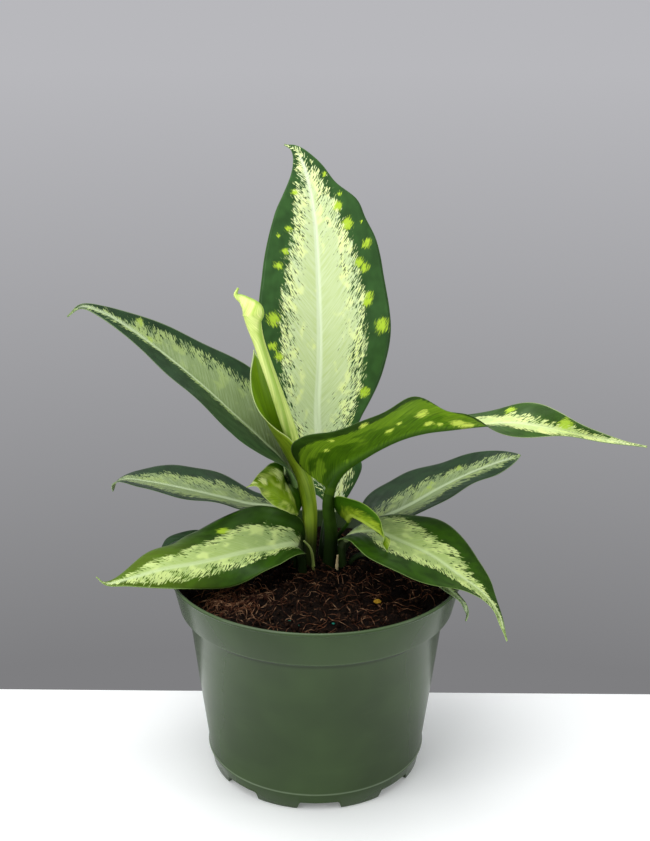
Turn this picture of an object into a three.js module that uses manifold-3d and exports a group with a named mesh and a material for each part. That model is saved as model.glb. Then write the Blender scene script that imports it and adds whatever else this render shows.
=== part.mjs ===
// A dieffenbachia in a round nursery pot, as three.js meshes.
// Millimetres, +Z up, with the front of the plant towards -Y.
import * as THREE from 'three';
import { mergeVertices } from 'three/addons/utils/BufferGeometryUtils.js';
import Module from 'manifold-3d';

const wasm = await Module();
wasm.setup();

// The pot: a moulded wall with a rim band, a rolled lip and a foot with drain notches
const POT = {
  height: 115.2,
  lipRadius: 80,
  bandTopRadius: 79,
  bandFootRadius: 75,
  bandFoot: 94.9,
  bodyTopRadius: 70.4,
  bodyTop: 93.2,
  footLineRadius: 60.1,
  footLine: 10.5,
  footRadius: 58.5,
  wall: 1.5,
  floor: 5,
  floorThickness: 1.8,
  footRing: 4.6,
  ridge: 0.6,
  shoulder: 0.7,
  lip: 1.1,
  segments: 48,
};
const NOTCH = {
  count: 8, turn: 2.5, footWidth: 25, topWidth: 21, height: 4.4, reach: 14, inner: 12,
};
const DRAIN = { radius: 4.5, ring: 46, length: 12, sides: 12 };

// The soil: a plug that fills the pot, with a lumpy mound on top
const SOIL = { edge: 105.5, mound: 5, lump: 0.9, gap: 0.4, segments: 36, ring: 11 };
const FIBRES = {
  count: 14, length: [8, 18], away: [16, 66], bow: 0.5, sunk: 2.4, radius: 0.5, sides: 3,
  steps: 4, seed: 7,
};

// Every stalk goes down to this height, in a hole of its own that is a little wider and
// deeper, and fits round what stands within reach of the root and below the soil's top
const ROOT = 98;
const HOLE = { play: 0.38, below: 0.35, above: 15.5, over: 8, reach: 11, sides: 12 };

// A blade's own thickness, the rib's depth in its half widths, what is left of its width at
// the tip, and how early it thins out
const BLADE = { edge: 0.8, ribDepth: 1.7, tipShare: 0.15, thinning: 1.3 };

// Where the points of a leaf's section lie from rib to margin: the share of the rib's half
// width, and the share of what the blade adds to it
const SECTION = { rib: [0, 0.5, 0.85, 0.92, 1], blade: [0, 0, 0.08, 0.5, 1] };

const COLOURS = {
  pot: 0x46583b,
  soil: 0x2a1b14,
  deep: 0x33552c,
  fresh: 0x3f7a22,
  bright: 0x6f9a1e,
  shoot: 0xc3d873,
  sheath: 0x7f9432,
  papery: 0xcfc08a,
};

// A leaf is one body from its root in the soil to its tip.
// spine: the line of its stalk and rib. stalk: the length before the blade starts.
// rib: half the stalk's width. half: the blade's widest halves left and right of the rib.
// swell and taper: how blunt the blade's base is and how drawn out its tip is.
// outline: in place of these, the half widths left and right from base to tip.
// face: which way the upper side looks, before roll turns it about the rib, in degrees from
// the blade's base to its tip. fold: how far both halves rise, and curl: how far they bend
// back down towards the margin. wave: height, number and phases of the margin's waves.
// steps: how many rows of points the stalk and the blade get.
const LEAVES = {
  leaf_tall_back: {
    colour: 'deep',
    spine: [
      [4, 20, ROOT], [4, 20, 114], [5, 24, 124], [7.5, 33, 141], [2, 41, 161], [-0.5, 47, 186],
      [0.5, 52, 217], [0, 57, 250], [-3, 64, 296.5], [-9, 69, 323], [-14, 71, 331],
      [-19.5, 72, 333.5],
    ],
    stalk: 38, rib: 3.4,
    outline: [
      [0, 28, 32, 34.5, 36, 36, 35, 32, 28, 21, 8.5, 0],
      [0, 21, 19, 26, 34, 39, 39.5, 37.5, 33, 23, 9.5, 0],
    ],
    face: [0.1, -1, 0.2], roll: [0, 0, 0], fold: [16, 16, 12], curl: [9, 12, 12],
    wave: [1.2, 4, 0, 90], steps: [3, 18],
  },
  leaf_upper_left: {
    colour: 'deep',
    spine: [
      [-12.3, 14, ROOT], [-12.3, 14, 112], [-14, 12.5, 141], [-20, 10.5, 170.5],
      [-29.5, 9, 182.5], [-42, 10, 195.5], [-64.5, 13, 216.5], [-87, 15, 234.5],
      [-112.5, 15, 251.5], [-123.5, 12, 255.5], [-130, 8, 251],
    ],
    stalk: 62, rib: 2.7, half: [32, 32], swell: 0.32, taper: 1.4,
    face: [0.3, 0, 1], roll: [-7, -18, -28, -48], fold: [20, 21, 18], curl: [4, 3, 6],
    wave: [1, 3, 0, 40], steps: [4, 15],
  },
  leaf_middle_left: {
    colour: 'deep',
    spine: [
      [-12, 20.7, ROOT], [-12, 20.7, 108], [-13, 21.5, 128], [-20.5, 24, 136.5],
      [-40, 27.7, 138.8], [-54, 29.7, 141.8], [-82.5, 33, 147.5], [-96.5, 35, 149.5],
      [-109.5, 36, 150.5], [-115, 36, 148], [-116, 36, 143],
    ],
    stalk: 36, rib: 2.4, half: [21.5, 21.1], swell: 0.87, taper: 0.65,
    face: [0.3, 0, 1], roll: [-6, -4, -5, 13], fold: [14, 16, 10], curl: [12, 2, 11],
    wave: [0.8, 3, 60, 0], steps: [3, 14],
  },
  leaf_front_left: {
    colour: 'fresh',
    spine: [
      [-8, 2.4, ROOT], [-8, 2.4, 108], [-9, -0.5, 121], [-12, -4, 127.5], [-24.5, -9, 128],
      [-37.5, -15, 128.5], [-50, -22, 128.5], [-62.5, -30, 129], [-78.5, -38, 129.5],
      [-94, -47, 128.5], [-105, -53, 128.5], [-109, -56, 133.5],
    ],
    stalk: 24, rib: 2.4, half: [17.5, 32], swell: 0.7, taper: 1.38,
    face: [0.3, 0.2, 1], roll: [-38, -22, -36, -16], fold: [26, 2, 0], curl: [-10, 50, 34],
    wave: [1, 3, 200, 30], steps: [3, 15],
  },
  leaf_middle_right: {
    colour: 'deep',
    spine: [
      [13, 18.3, ROOT], [13, 18.3, 110], [19.5, 20.5, 122.5], [30, 24, 128],
      [41.5, 28, 132.5], [53.5, 32, 137.5], [70, 37, 146], [86.5, 41, 153.5],
      [99.5, 44, 158], [116, 47, 163],
    ],
    stalk: 36, rib: 2.4, half: [25.6, 20.7], swell: 0.42, taper: 0.79,
    face: [-0.3, 0, 1], roll: [7, 8, 7, 29], fold: [20, 13, 10], curl: [1, 7, 12],
    wave: [0.6, 3, 0, 90], steps: [3, 13],
  },
  leaf_front_right: {
    colour: 'fresh',
    spine: [
      [14.7, 9.4, ROOT], [14.7, 9.4, 110], [14.4, 8, 124], [18, 5, 129.5], [31, -2, 135],
      [46, -12, 133.5], [61, -24, 131], [74, -35, 125.5], [84.5, -44, 121], [92, -50, 113.5],
      [97.5, -55, 99],
    ],
    stalk: 24, rib: 2.4, half: [23, 30], swell: 1.2, taper: 1.76,
    face: [-0.3, 0.2, 1], roll: [2, 9, 2, -40], fold: [15, 14, 13], curl: [15, 4, 6],
    wave: [0.8, 3, 0, 0], steps: [3, 15],
  },
  leaf_twisted_right: {
    colour: 'bright',
    spine: [
      [7.5, 8.6, ROOT], [7.5, 8.6, 112], [8, 6, 129], [6.3, 0.5, 150.6], [9.5, -2, 164.3],
      [15.5, -4.5, 173.3], [24.5, -7, 180.8], [34, -8, 187], [45, -9, 192.5],
      [56.5, -10, 196], [69, -11, 198], [86.5, -11, 200], [102.5, -12, 201], [120.5, -13, 199],
      [139, -14, 195.5], [156, -15, 192.5], [170, -16, 190.5],
    ],
    stalk: 60, rib: 3.1, half: [35, 36], swell: 0.38, taper: 1.65,
    face: [-0.3, 0, 1], roll: [-40, -26, -24, -26, 0, 39, 53, 47],
    fold: [46, 20, 26, 6, 53, 11], curl: [1, 4],
    wave: [0, 1, 0, 0], steps: [4, 23],
  },
  leaf_small_left: {
    colour: 'bright',
    spine: [
      [-11.4, 7.4, ROOT], [-11.4, 7.4, 112], [-11.8, 7.6, 127], [-12, 8.2, 140],
      [-13.8, -2.5, 151], [-18.5, -9, 160.5], [-25, -12.5, 168], [-31.5, -16, 170],
      [-36.5, -18.5, 167],
    ],
    stalk: 42, rib: 1.6, half: [14.5, 13.5], swell: 1.05, taper: 1.38,
    face: [0.4, 0, 1], roll: [-58, -38, -66, -7], fold: [42, 2, 0], curl: [26, 52],
    wave: [0.8, 2, 0, 90], steps: [4, 11],
  },
  leaf_small_right: {
    colour: 'bright',
    spine: [
      [8.7, 15.4, ROOT], [8.7, 15.4, 114], [11.8, 13.6, 126], [16.6, 8.5, 135.5], [17.9, 1.5, 142.3],
      [19.5, -5.5, 146], [23.5, -12, 146.5], [28.5, -18, 145.5], [33.5, -22, 143.5],
      [36, -24.5, 141.5], [37.2, -26, 136.5],
    ],
    stalk: 44, rib: 1.5, half: [11.5, 14.5], swell: 0.65, taper: 1.35,
    face: [-0.3, 0, 1], roll: [-54, -52, -75, -32], fold: [43, 33, 27], curl: [23, 23],
    wave: [0.4, 2, 0, 0], steps: [4, 11],
  },
  leaf_low_left: {
    colour: 'deep',
    spine: [
      [-18, 14.5, ROOT], [-18, 14.5, 111], [-21.5, 14.5, 117.5], [-31.5, 13, 120.5],
      [-48, 12, 122.5], [-64.5, 11, 125], [-78.5, 11, 123.5], [-85, 10, 119],
      [-91.5, 9, 111.5], [-101.5, 7, 101], [-109, 5, 92],
    ],
    stalk: 26, rib: 1.8, half: [10, 10], swell: 0.6, taper: 0.9,
    face: [0.3, 0, 1], roll: [0, 0], fold: [16, 12], curl: [6, 6],
    wave: [0.6, 3, 0, 90], steps: [3, 11],
  },
  leaf_low_back: {
    colour: 'deep',
    spine: [
      [10, 28, ROOT], [10, 28, 110], [14, 29.5, 115.5], [28, 33, 120], [43, 36, 123.5],
      [56, 38, 123.5], [66, 40, 119],
    ],
    stalk: 24, rib: 1.8, half: [9.5, 11], swell: 0.6, taper: 1,
    face: [-0.3, 0, 1], roll: [0, 0], fold: [14, 10], curl: [10, 10],
    wave: [0.5, 2, 0, 90], steps: [3, 8],
  },
  leaf_low_right: {
    colour: 'deep',
    spine: [
      [18.6, 13.4, ROOT], [18.6, 13.4, 110], [24, 11, 116], [45.5, 0, 120.5], [60.5, -14, 122],
      [69, -26, 121], [74.5, -34, 118.5], [78, -37, 112], [80, -38.5, 102],
    ],
    stalk: 22, rib: 1.7, half: [8, 8], swell: 0.6, taper: 0.8,
    face: [-0.3, 0, 1], roll: [0, 0], fold: [18, 14], curl: [6, 6],
    wave: [0.4, 2, 0, 90], steps: [3, 10],
  },
  leaf_sheath: {
    colour: 'sheath',
    spine: [
      [-8.3, 10.5, ROOT], [-8.3, 10.5, 112], [-7.4, 10.5, 131], [-7.6, 10.5, 144.5],
      [-9.8, 10.5, 157], [-12.3, 10.5, 164.5], [-16, 10.5, 173], [-20.3, 10.5, 181.5],
      [-24, 10.7, 189.5], [-27, 10.7, 200.5], [-29.8, 10.2, 212], [-31.8, 9, 223],
      [-33.3, 7.5, 234],
    ],
    stalk: 0, rib: 0.7,
    outline: [
      [10.6, 10.6, 10.6, 10.6, 10.8, 11.3, 11.8, 11.8, 11, 9, 5.5, 0],
      [10.6, 10.6, 10.6, 10.6, 10.8, 11.3, 11.8, 11.8, 11, 9, 5.5, 0],
    ],
    section: { rib: [0, 1, 1, 1, 1, 1], blade: [0, 0.14, 0.34, 0.56, 0.78, 1] },
    face: [1, 0, 0.2], roll: [0, 0, 0, -5, -52, -70], fold: [2, 2, 2, 4, 8, 6],
    curl: [-168, -168, -160, -112, -40, -20],
    wave: [0, 1, 0, 0], steps: [0, 17],
  },
};

// The new leaf is still rolled: a rod whose outer edge steps at a seam that winds up it,
// and which opens into a small hook at its tip. radii: from root to tip. step: the share of
// the radius. seam: the step's share of the way round. turns: of the seam up the rod.
const ROLLED = {
  spine: [
    [-4.3, 10.5, ROOT], [-4.3, 10.5, 112], [-3.4, 10.5, 131], [-3.8, 10.5, 146],
    [-6.3, 10.5, 159], [-9.8, 10.5, 171], [-13, 10.5, 183.5], [-17, 9, 197],
    [-22.5, 6.5, 214.5], [-30.5, 3, 240], [-33, 2, 250.5], [-33.5, 2, 256],
    [-38, 2, 261.5], [-42, 2, 264.5], [-40.8, 2, 268],
  ],
  radii: [1.8, 1.9, 2, 2, 2.2, 2.6, 3.3, 3.9, 4.1, 4.1, 4.6, 5, 2.7, 1.3, 0.6],
  step: 0.2,
  seam: 0.015,
  turns: 0.8,
  sides: 13,
  steps: 27,
};

// Small dry pieces between the stalks, each a bent strip. half: its half width at both ends.
const STRIPS = {
  steps: 7,
  keel: 0.4,
  pieces: {
    stub: {
      spine: [[-1.4, 2.6, ROOT], [-1.6, 2.4, 112], [-3.4, 1.2, 124], [-7, 0.4, 129]],
      half: [1.1, 0.5], thickness: 0.9, colour: 'papery',
    },
    bract: {
      spine: [[11.2, 4.6, ROOT], [11.2, 4.6, 112], [11.6, 4.2, 119]],
      half: [1.3, 0.5], thickness: 0.8, colour: 'papery',
    },
  },
};

const radians = THREE.MathUtils.degToRad;

// A value on a smooth line through evenly spaced ones
function along(values, t) {
  const last = values.length - 1;
  const place = THREE.MathUtils.clamp(t, 0, 1) * last;
  const i = Math.min(Math.floor(place), last - 1);
  const k = place - i;
  const before = values[Math.max(i - 1, 0)];
  const from = values[i];
  const to = values[i + 1];
  const after = values[Math.min(i + 2, last)];
  return from + 0.5 * k * (to - before + k * (2 * before - 5 * from + 4 * to - after
    + k * (3 * from - before - 3 * to + after)));
}

// Random numbers from 0 to 1 that are the same on every run
function makeRandom(seed) {
  let state = seed;
  return () => {
    state = (state * 1664525 + 1013904223) % 4294967296;
    return state / 4294967296;
  };
}

function curveThrough(points) {
  const curve = new THREE.CatmullRomCurve3(points.map((p) => new THREE.Vector3(...p)));
  curve.arcLengthDivisions = 400;
  return curve;
}

function geometryFrom(points, triangles) {
  const geometry = new THREE.BufferGeometry();
  const flat = points.flatMap((p) => [p.x, p.y, p.z]);
  geometry.setAttribute('position', new THREE.Float32BufferAttribute(flat, 3));
  geometry.setIndex(triangles);
  return geometry;
}

// A closed body through rings of points that run clockwise as seen from its start
function loftRings(rings) {
  const size = rings[0].length;
  const points = rings.flat();
  const triangles = [];
  for (let k = 0; k < rings.length - 1; k += 1) {
    for (let i = 0; i < size; i += 1) {
      const a = k * size + i;
      const b = k * size + ((i + 1) % size);
      triangles.push(a, b, b + size, a, b + size, a + size);
    }
  }
  const ends = [rings[0], rings[rings.length - 1]];
  ends.forEach((ring, end) => {
    const centre = ring.reduce((sum, p) => sum.add(p), new THREE.Vector3()).divideScalar(size);
    const first = end === 0 ? 0 : (rings.length - 1) * size;
    points.push(centre);
    for (let i = 0; i < size; i += 1) {
      const a = first + i;
      const b = first + ((i + 1) % size);
      const corners = end === 0 ? [b, a, points.length - 1] : [a, b, points.length - 1];
      triangles.push(...corners);
    }
  });
  return geometryFrom(points, triangles);
}

// A closed body between an upper and a lower sheet of points, row by row, split into
// triangles alike on both sheets so that they never cross
function loftSheets(upper, lower) {
  const rows = upper.length;
  const columns = upper[0].length;
  const points = [...upper.flat(), ...lower.flat()];
  const top = (k, j) => k * columns + j;
  const under = (k, j) => rows * columns + k * columns + j;
  const triangles = [];
  const quad = (a, b, c, d) => triangles.push(a, b, c, a, c, d);
  for (let k = 0; k < rows - 1; k += 1) {
    for (let j = 0; j < columns - 1; j += 1) {
      quad(top(k, j), top(k, j + 1), top(k + 1, j + 1), top(k + 1, j));
      quad(under(k, j), under(k + 1, j), under(k + 1, j + 1), under(k, j + 1));
    }
    const last = columns - 1;
    quad(top(k, last), under(k, last), under(k + 1, last), top(k + 1, last));
    quad(under(k, 0), top(k, 0), top(k + 1, 0), under(k + 1, 0));
  }
  for (let j = 0; j < columns - 1; j += 1) {
    quad(top(0, j), under(0, j), under(0, j + 1), top(0, j + 1));
    quad(top(rows - 1, j), top(rows - 1, j + 1), under(rows - 1, j + 1), under(rows - 1, j));
  }
  return geometryFrom(points, triangles);
}

// The blade's half width on one side of the rib at share u of its length, in millimetres
function bladeWidth(leaf, sign, u) {
  const x = THREE.MathUtils.clamp(u, 0, 1);
  const hand = sign < 0 ? 0 : 1;
  if (leaf.outline) {
    return along(leaf.outline[hand], x);
  }
  const widest = leaf.swell / (leaf.swell + leaf.taper);
  return leaf.half[hand] * (x / widest) ** leaf.swell
    * ((1 - x) / (1 - widest)) ** leaf.taper;
}

// Places along a leaf: even on its stalk, closer together at the blade's base and tip
function leafPlaces(length, stalk, steps) {
  const [stalkSteps, bladeSteps] = steps;
  const places = [];
  for (let i = 0; i < stalkSteps; i += 1) {
    places.push((stalk * i) / stalkSteps);
  }
  for (let i = 0; i <= bladeSteps; i += 1) {
    const even = i / bladeSteps;
    const eased = (1 - Math.cos(Math.PI * even)) / 2;
    places.push(stalk + (length - stalk) * (even + eased) / 2);
  }
  return places;
}

// The points of one leaf: its upper and lower sheet, row by row from root to tip
function leafSheets(leaf) {
  const curve = curveThrough(leaf.spine);
  const length = curve.getLength();
  const face = new THREE.Vector3(...leaf.face);
  const section = leaf.section ?? SECTION;
  const upper = [];
  const lower = [];
  for (const place of leafPlaces(length, leaf.stalk, leaf.steps)) {
    const t = place / length;
    const u = (place - leaf.stalk) / (length - leaf.stalk);
    const centre = curve.getPointAt(t);
    const tangent = curve.getTangentAt(t);
    const normal = face.clone().addScaledVector(tangent, -face.dot(tangent)).normalize();
    normal.applyAxisAngle(tangent, radians(along(leaf.roll, u)));
    const side = tangent.clone().cross(normal);
    const rib = leaf.rib * (1 - (1 - BLADE.tipShare) * t);
    const depth = BLADE.edge + (leaf.rib * BLADE.ribDepth - BLADE.edge) * (1 - t) ** BLADE.thinning;
    const fold = radians(along(leaf.fold, u));
    const curl = radians(along(leaf.curl, u)) || 0.001;
    const [height, count, phaseLeft, phaseRight] = leaf.wave;
    const rowAbove = [];
    const rowBelow = [];
    for (const sign of [-1, 1]) {
      const half = Math.hypot(rib, bladeWidth(leaf, sign, u));
      const phase = radians(sign < 0 ? phaseLeft : phaseRight);
      const swing = height * Math.sin(Math.PI * THREE.MathUtils.clamp(u, 0, 1))
        * Math.sin(2 * Math.PI * count * u + phase);
      const above = [];
      const below = [];
      section.rib.forEach((share, j) => {
        const reach = rib * share + (half - rib) * section.blade[j];
        const s = reach / half;
        const angle = fold - curl * s;
        const out = (half * (Math.sin(fold) - Math.sin(angle))) / curl;
        const rise = (half * (Math.cos(angle) - Math.cos(fold))) / curl + swing * s * s;
        const round = Math.sqrt(Math.max(0, 1 - (reach / rib) ** 2));
        const thick = BLADE.edge + (depth - BLADE.edge) * round;
        const lean = j === 0 ? 0 : angle;
        const point = (x, h) => centre.clone().addScaledVector(side, sign * x)
          .addScaledVector(normal, h + (depth - BLADE.edge) / 2);
        above.push(point(out, rise));
        below.push(point(out + Math.sin(lean) * thick, rise - Math.cos(lean) * thick));
      });
      rowAbove.push(above);
      rowBelow.push(below);
    }
    upper.push([...rowAbove[0].reverse(), ...rowAbove[1].slice(1)]);
    lower.push([...rowBelow[0].reverse(), ...rowBelow[1].slice(1)]);
  }
  return [upper, lower];
}

function leafGeometry(leaf) {
  return loftSheets(...leafSheets(leaf));
}

// The rolled leaf: rings whose radius drops by a step at the seam, which turns on from one
// ring to the next
function rolledGeometry() {
  const curve = curveThrough(ROLLED.spine);
  const rings = [];
  for (let k = 0; k <= ROLLED.steps; k += 1) {
    const t = k / ROLLED.steps;
    const centre = curve.getPoint(t);
    const tangent = curve.getTangent(t);
    const across = new THREE.Vector3(0, -1, 0).cross(tangent).normalize();
    const toFront = tangent.clone().cross(across);
    const radius = along(ROLLED.radii, t);
    const ring = [];
    for (let i = 0; i < ROLLED.sides; i += 1) {
      const share = i / (ROLLED.sides - 1);
      const angle = 2 * Math.PI * (share * (1 - ROLLED.seam) + ROLLED.turns * t);
      const reach = radius * (1 - ROLLED.step * (1 - share));
      ring.push(centre.clone().addScaledVector(across, reach * Math.cos(angle))
        .addScaledVector(toFront, reach * Math.sin(angle)));
    }
    rings.push(ring);
  }
  return loftRings(rings);
}

function stripGeometry(strip) {
  const curve = curveThrough(strip.spine);
  const upper = [];
  const lower = [];
  for (let k = 0; k <= STRIPS.steps; k += 1) {
    const t = k / STRIPS.steps;
    const centre = curve.getPoint(t);
    const tangent = curve.getTangent(t);
    const normal = new THREE.Vector3(0, -1, 0).addScaledVector(tangent, tangent.y).normalize();
    const side = tangent.clone().cross(normal);
    const half = THREE.MathUtils.lerp(strip.half[0], strip.half[1], t);
    const row = (depth) => [-1, 0, 1].map((s) => centre.clone()
      .addScaledVector(side, s * half)
      .addScaledVector(normal, depth - Math.abs(s) * half * STRIPS.keel));
    upper.push(row(strip.thickness / 2));
    lower.push(row(-strip.thickness / 2));
  }
  return loftSheets(upper, lower);
}

// A body turned about the vertical axis from points of [radius, height]
function turned(points, segments) {
  const profile = points.map(([r, z]) => new THREE.Vector2(r, z));
  return new THREE.LatheGeometry(profile, segments).rotateX(Math.PI / 2);
}

function solidFrom(geometry) {
  const bare = geometry.clone();
  bare.deleteAttribute('normal');
  bare.deleteAttribute('uv');
  const merged = mergeVertices(bare, 1e-4);
  return new wasm.Manifold(new wasm.Mesh({
    numProp: 3,
    vertProperties: merged.attributes.position.array,
    triVerts: new Uint32Array(merged.index.array),
  }));
}

function geometryOf(solid) {
  const mesh = solid.getMesh();
  const geometry = new THREE.BufferGeometry();
  geometry.setAttribute('position', new THREE.BufferAttribute(mesh.vertProperties, 3));
  geometry.setIndex(new THREE.BufferAttribute(mesh.triVerts, 1));
  return geometry;
}

// The pot's inside from floor to lip, as points of [radius, height], which the soil follows
function innerProfile() {
  const { wall, shoulder } = POT;
  return [
    [POT.footRadius - wall - shoulder, POT.floor + POT.floorThickness],
    [POT.footLineRadius - wall, POT.footLine],
    [POT.bodyTopRadius - wall, POT.bodyTop - wall],
    [POT.bandFootRadius - wall, POT.bandFoot + wall],
    [POT.bandTopRadius - wall, POT.height - 2 * POT.lip],
  ];
}

// The pot's outside from the middle of its floor to the lip
function outerProfile() {
  const { height, footRing, ridge, shoulder, lip } = POT;
  return [
    [0, POT.floor],
    [POT.footRadius - footRing - 0.4, POT.floor],
    [POT.footRadius - footRing, 0],
    [POT.footRadius, 0],
    [POT.footLineRadius - 0.1, POT.footLine - 1.3 * ridge],
    [POT.footLineRadius + ridge, POT.footLine - 0.7 * ridge],
    [POT.footLineRadius + ridge, POT.footLine + 0.7 * ridge],
    [POT.footLineRadius + 0.2, POT.footLine + 1.3 * ridge],
    [POT.bodyTopRadius, POT.bodyTop],
    [POT.bandFootRadius - shoulder, POT.bandFoot - 0.4 * shoulder],
    [POT.bandFootRadius, POT.bandFoot + 0.6 * shoulder],
    [POT.bandTopRadius, height - 2 * lip],
    [POT.lipRadius - 0.2, height - 1.6 * lip],
    [POT.lipRadius, height - lip],
    [POT.lipRadius - 0.3, height - 0.3 * lip],
    [POT.lipRadius - 0.9, height],
    [POT.bandTopRadius - POT.wall, height - 0.4 * lip],
  ];
}

function potGeometry() {
  const inner = [...innerProfile().reverse(), [0, POT.floor + POT.floorThickness]];
  const body = solidFrom(turned([...outerProfile(), ...inner], POT.segments));
  const cutters = [];
  const low = -NOTCH.height / 2;
  const foot = NOTCH.footWidth / 2;
  const top = NOTCH.topWidth / 2;
  const notch = new THREE.Shape([[-foot, low], [foot, low], [foot, 0], [top, NOTCH.height],
    [-top, NOTCH.height], [-foot, 0]].map(([x, z]) => new THREE.Vector2(x, z)));
  for (let i = 0; i < NOTCH.count; i += 1) {
    const angle = radians(NOTCH.turn) + (2 * Math.PI * i) / NOTCH.count;
    const cut = new THREE.ExtrudeGeometry(notch, { depth: NOTCH.reach, bevelEnabled: false });
    cut.rotateX(Math.PI / 2).translate(0, NOTCH.inner - POT.footRadius, 0).rotateZ(angle);
    const hole = new THREE.CylinderGeometry(DRAIN.radius, DRAIN.radius, DRAIN.length, DRAIN.sides);
    hole.rotateX(Math.PI / 2).translate(0, -DRAIN.ring, POT.floor).rotateZ(angle);
    cutters.push(solidFrom(cut), solidFrom(hole));
  }
  return geometryOf(wasm.Manifold.difference([body, ...cutters]));
}

// The height of the lumps on the soil, in millimetres above its smooth mound
function lumps(x, y) {
  return SOIL.lump * (Math.sin(0.31 * x + 1.3) * Math.cos(0.27 * y - 0.4)
    + 0.6 * Math.sin(0.63 * x - 0.52 * y + 2.1) + 0.5 * Math.cos(0.71 * y + 0.48 * x));
}

function soilTop(x, y) {
  const share = Math.min(1, Math.hypot(x, y) / POT.bandTopRadius);
  return SOIL.edge + SOIL.mound * (1 - share * share) + lumps(x, y) * (1 - share ** 6);
}

// One coir fibre: a slim arc whose both ends go into the soil
function fibreGeometry(random) {
  const length = THREE.MathUtils.lerp(...FIBRES.length, random());
  const away = THREE.MathUtils.lerp(...FIBRES.away, Math.sqrt(random()));
  const where = 2 * Math.PI * random();
  const heading = 2 * Math.PI * random();
  const bow = (random() - 0.5) * length * FIBRES.bow;
  const centre = [away * Math.cos(where), away * Math.sin(where)];
  const points = [-0.5, -0.2, 0.2, 0.5].map((share) => {
    const bulge = bow * (1 - 4 * share * share);
    const x = centre[0] + share * length * Math.cos(heading) - bulge * Math.sin(heading);
    const y = centre[1] + share * length * Math.sin(heading) + bulge * Math.cos(heading);
    return [x, y, soilTop(x, y) + (Math.abs(share) > 0.4 ? -FIBRES.sunk : FIBRES.radius)];
  });
  const curve = curveThrough(points);
  const rings = [];
  for (let k = 0; k <= FIBRES.steps; k += 1) {
    const t = k / FIBRES.steps;
    const tangent = curve.getTangent(t);
    const across = new THREE.Vector3(0, 0, 1).cross(tangent).normalize();
    const up = tangent.clone().cross(across);
    const ring = [];
    for (let i = 0; i < FIBRES.sides; i += 1) {
      const angle = (2 * Math.PI * i) / FIBRES.sides;
      ring.push(curve.getPoint(t).addScaledVector(across, FIBRES.radius * Math.cos(angle))
        .addScaledVector(up, FIBRES.radius * Math.sin(angle)));
    }
    rings.push(ring);
  }
  return loftRings(rings);
}

// The hole for a stalk that stands upright below the soil's top: round all of its section
// there, a little wider and deeper
function holeFor(geometry) {
  const place = geometry.attributes.position;
  const root = new THREE.Vector2(place.getX(0), place.getY(0));
  const feet = [];
  for (let i = 0; i < place.count; i += 1) {
    const point = new THREE.Vector2(place.getX(i), place.getY(i));
    if (place.getZ(i) < ROOT + HOLE.above && point.distanceTo(root) < HOLE.reach) {
      feet.push(point);
    }
  }
  const centre = new THREE.Box2().setFromPoints(feet).getCenter(new THREE.Vector2());
  const reach = Math.max(...feet.map((p) => p.distanceTo(centre))) + HOLE.play;
  const radius = reach / Math.cos(Math.PI / HOLE.sides);
  const height = SOIL.edge + SOIL.mound + HOLE.over - ROOT;
  const hole = new THREE.CylinderGeometry(radius, radius, height + HOLE.below, HOLE.sides);
  hole.rotateX(Math.PI / 2);
  return hole.translate(centre.x, centre.y, ROOT + (height - HOLE.below) / 2);
}

function soilGeometry(stalks) {
  const inside = innerProfile().map(([r, z]) => [r - SOIL.gap, z + SOIL.gap]);
  const wallTop = inside.pop();
  const wallFoot = inside[inside.length - 1];
  const share = (SOIL.edge - wallFoot[1]) / (wallTop[1] - wallFoot[1]);
  const edge = THREE.MathUtils.lerp(wallFoot[0], wallTop[0], share);
  const top = [];
  for (let r = Math.floor(edge / SOIL.ring) * SOIL.ring; r >= 0; r -= SOIL.ring) {
    top.push([r, SOIL.edge]);
  }
  const profile = [[0, inside[0][1]], ...inside, [edge, SOIL.edge], ...top];
  const plug = turned(profile, SOIL.segments);
  const place = plug.attributes.position;
  for (let i = 0; i < place.count; i += 1) {
    const away = Math.hypot(place.getX(i), place.getY(i));
    if (place.getZ(i) > SOIL.edge - 0.1 && away < edge - 0.1) {
      place.setZ(i, soilTop(place.getX(i), place.getY(i)));
    }
  }
  const random = makeRandom(FIBRES.seed);
  const parts = [solidFrom(plug)];
  for (let i = 0; i < FIBRES.count; i += 1) {
    parts.push(solidFrom(fibreGeometry(random)));
  }
  const whole = wasm.Manifold.union(parts);
  const holes = stalks.map((stalk) => solidFrom(holeFor(stalk)));
  return geometryOf(wasm.Manifold.difference([whole, ...holes]));
}

function addPiece(group, name, geometry, colour, roughness) {
  const color = COLOURS[colour];
  const material = new THREE.MeshStandardMaterial({ color, roughness, metalness: 0 });
  const mesh = new THREE.Mesh(geometry, material);
  mesh.name = name;
  group.add(mesh);
}

function buildPlant() {
  const plant = new THREE.Group();
  const stalks = [];
  for (const [name, leaf] of Object.entries(LEAVES)) {
    const geometry = leafGeometry(leaf);
    addPiece(plant, name, geometry, leaf.colour, 0.45);
    stalks.push(geometry);
  }
  const rolled = rolledGeometry();
  addPiece(plant, 'leaf_rolled', rolled, 'shoot', 0.4);
  for (const [name, strip] of Object.entries(STRIPS.pieces)) {
    const geometry = stripGeometry(strip);
    addPiece(plant, name, geometry, strip.colour, 0.8);
    stalks.push(geometry);
  }
  addPiece(plant, 'soil', soilGeometry(stalks), 'soil', 0.95);
  addPiece(plant, 'pot', potGeometry(), 'pot', 0.35);
  return plant;
}

// The origin is under the middle of the whole object, on the surface that the pot stands on
const plant = buildPlant();
const middle = new THREE.Box3().setFromObject(plant).getCenter(new THREE.Vector3());
plant.position.set(-middle.x, -middle.y, 0);
const group = new THREE.Group();
group.add(plant);

export default group;
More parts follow.
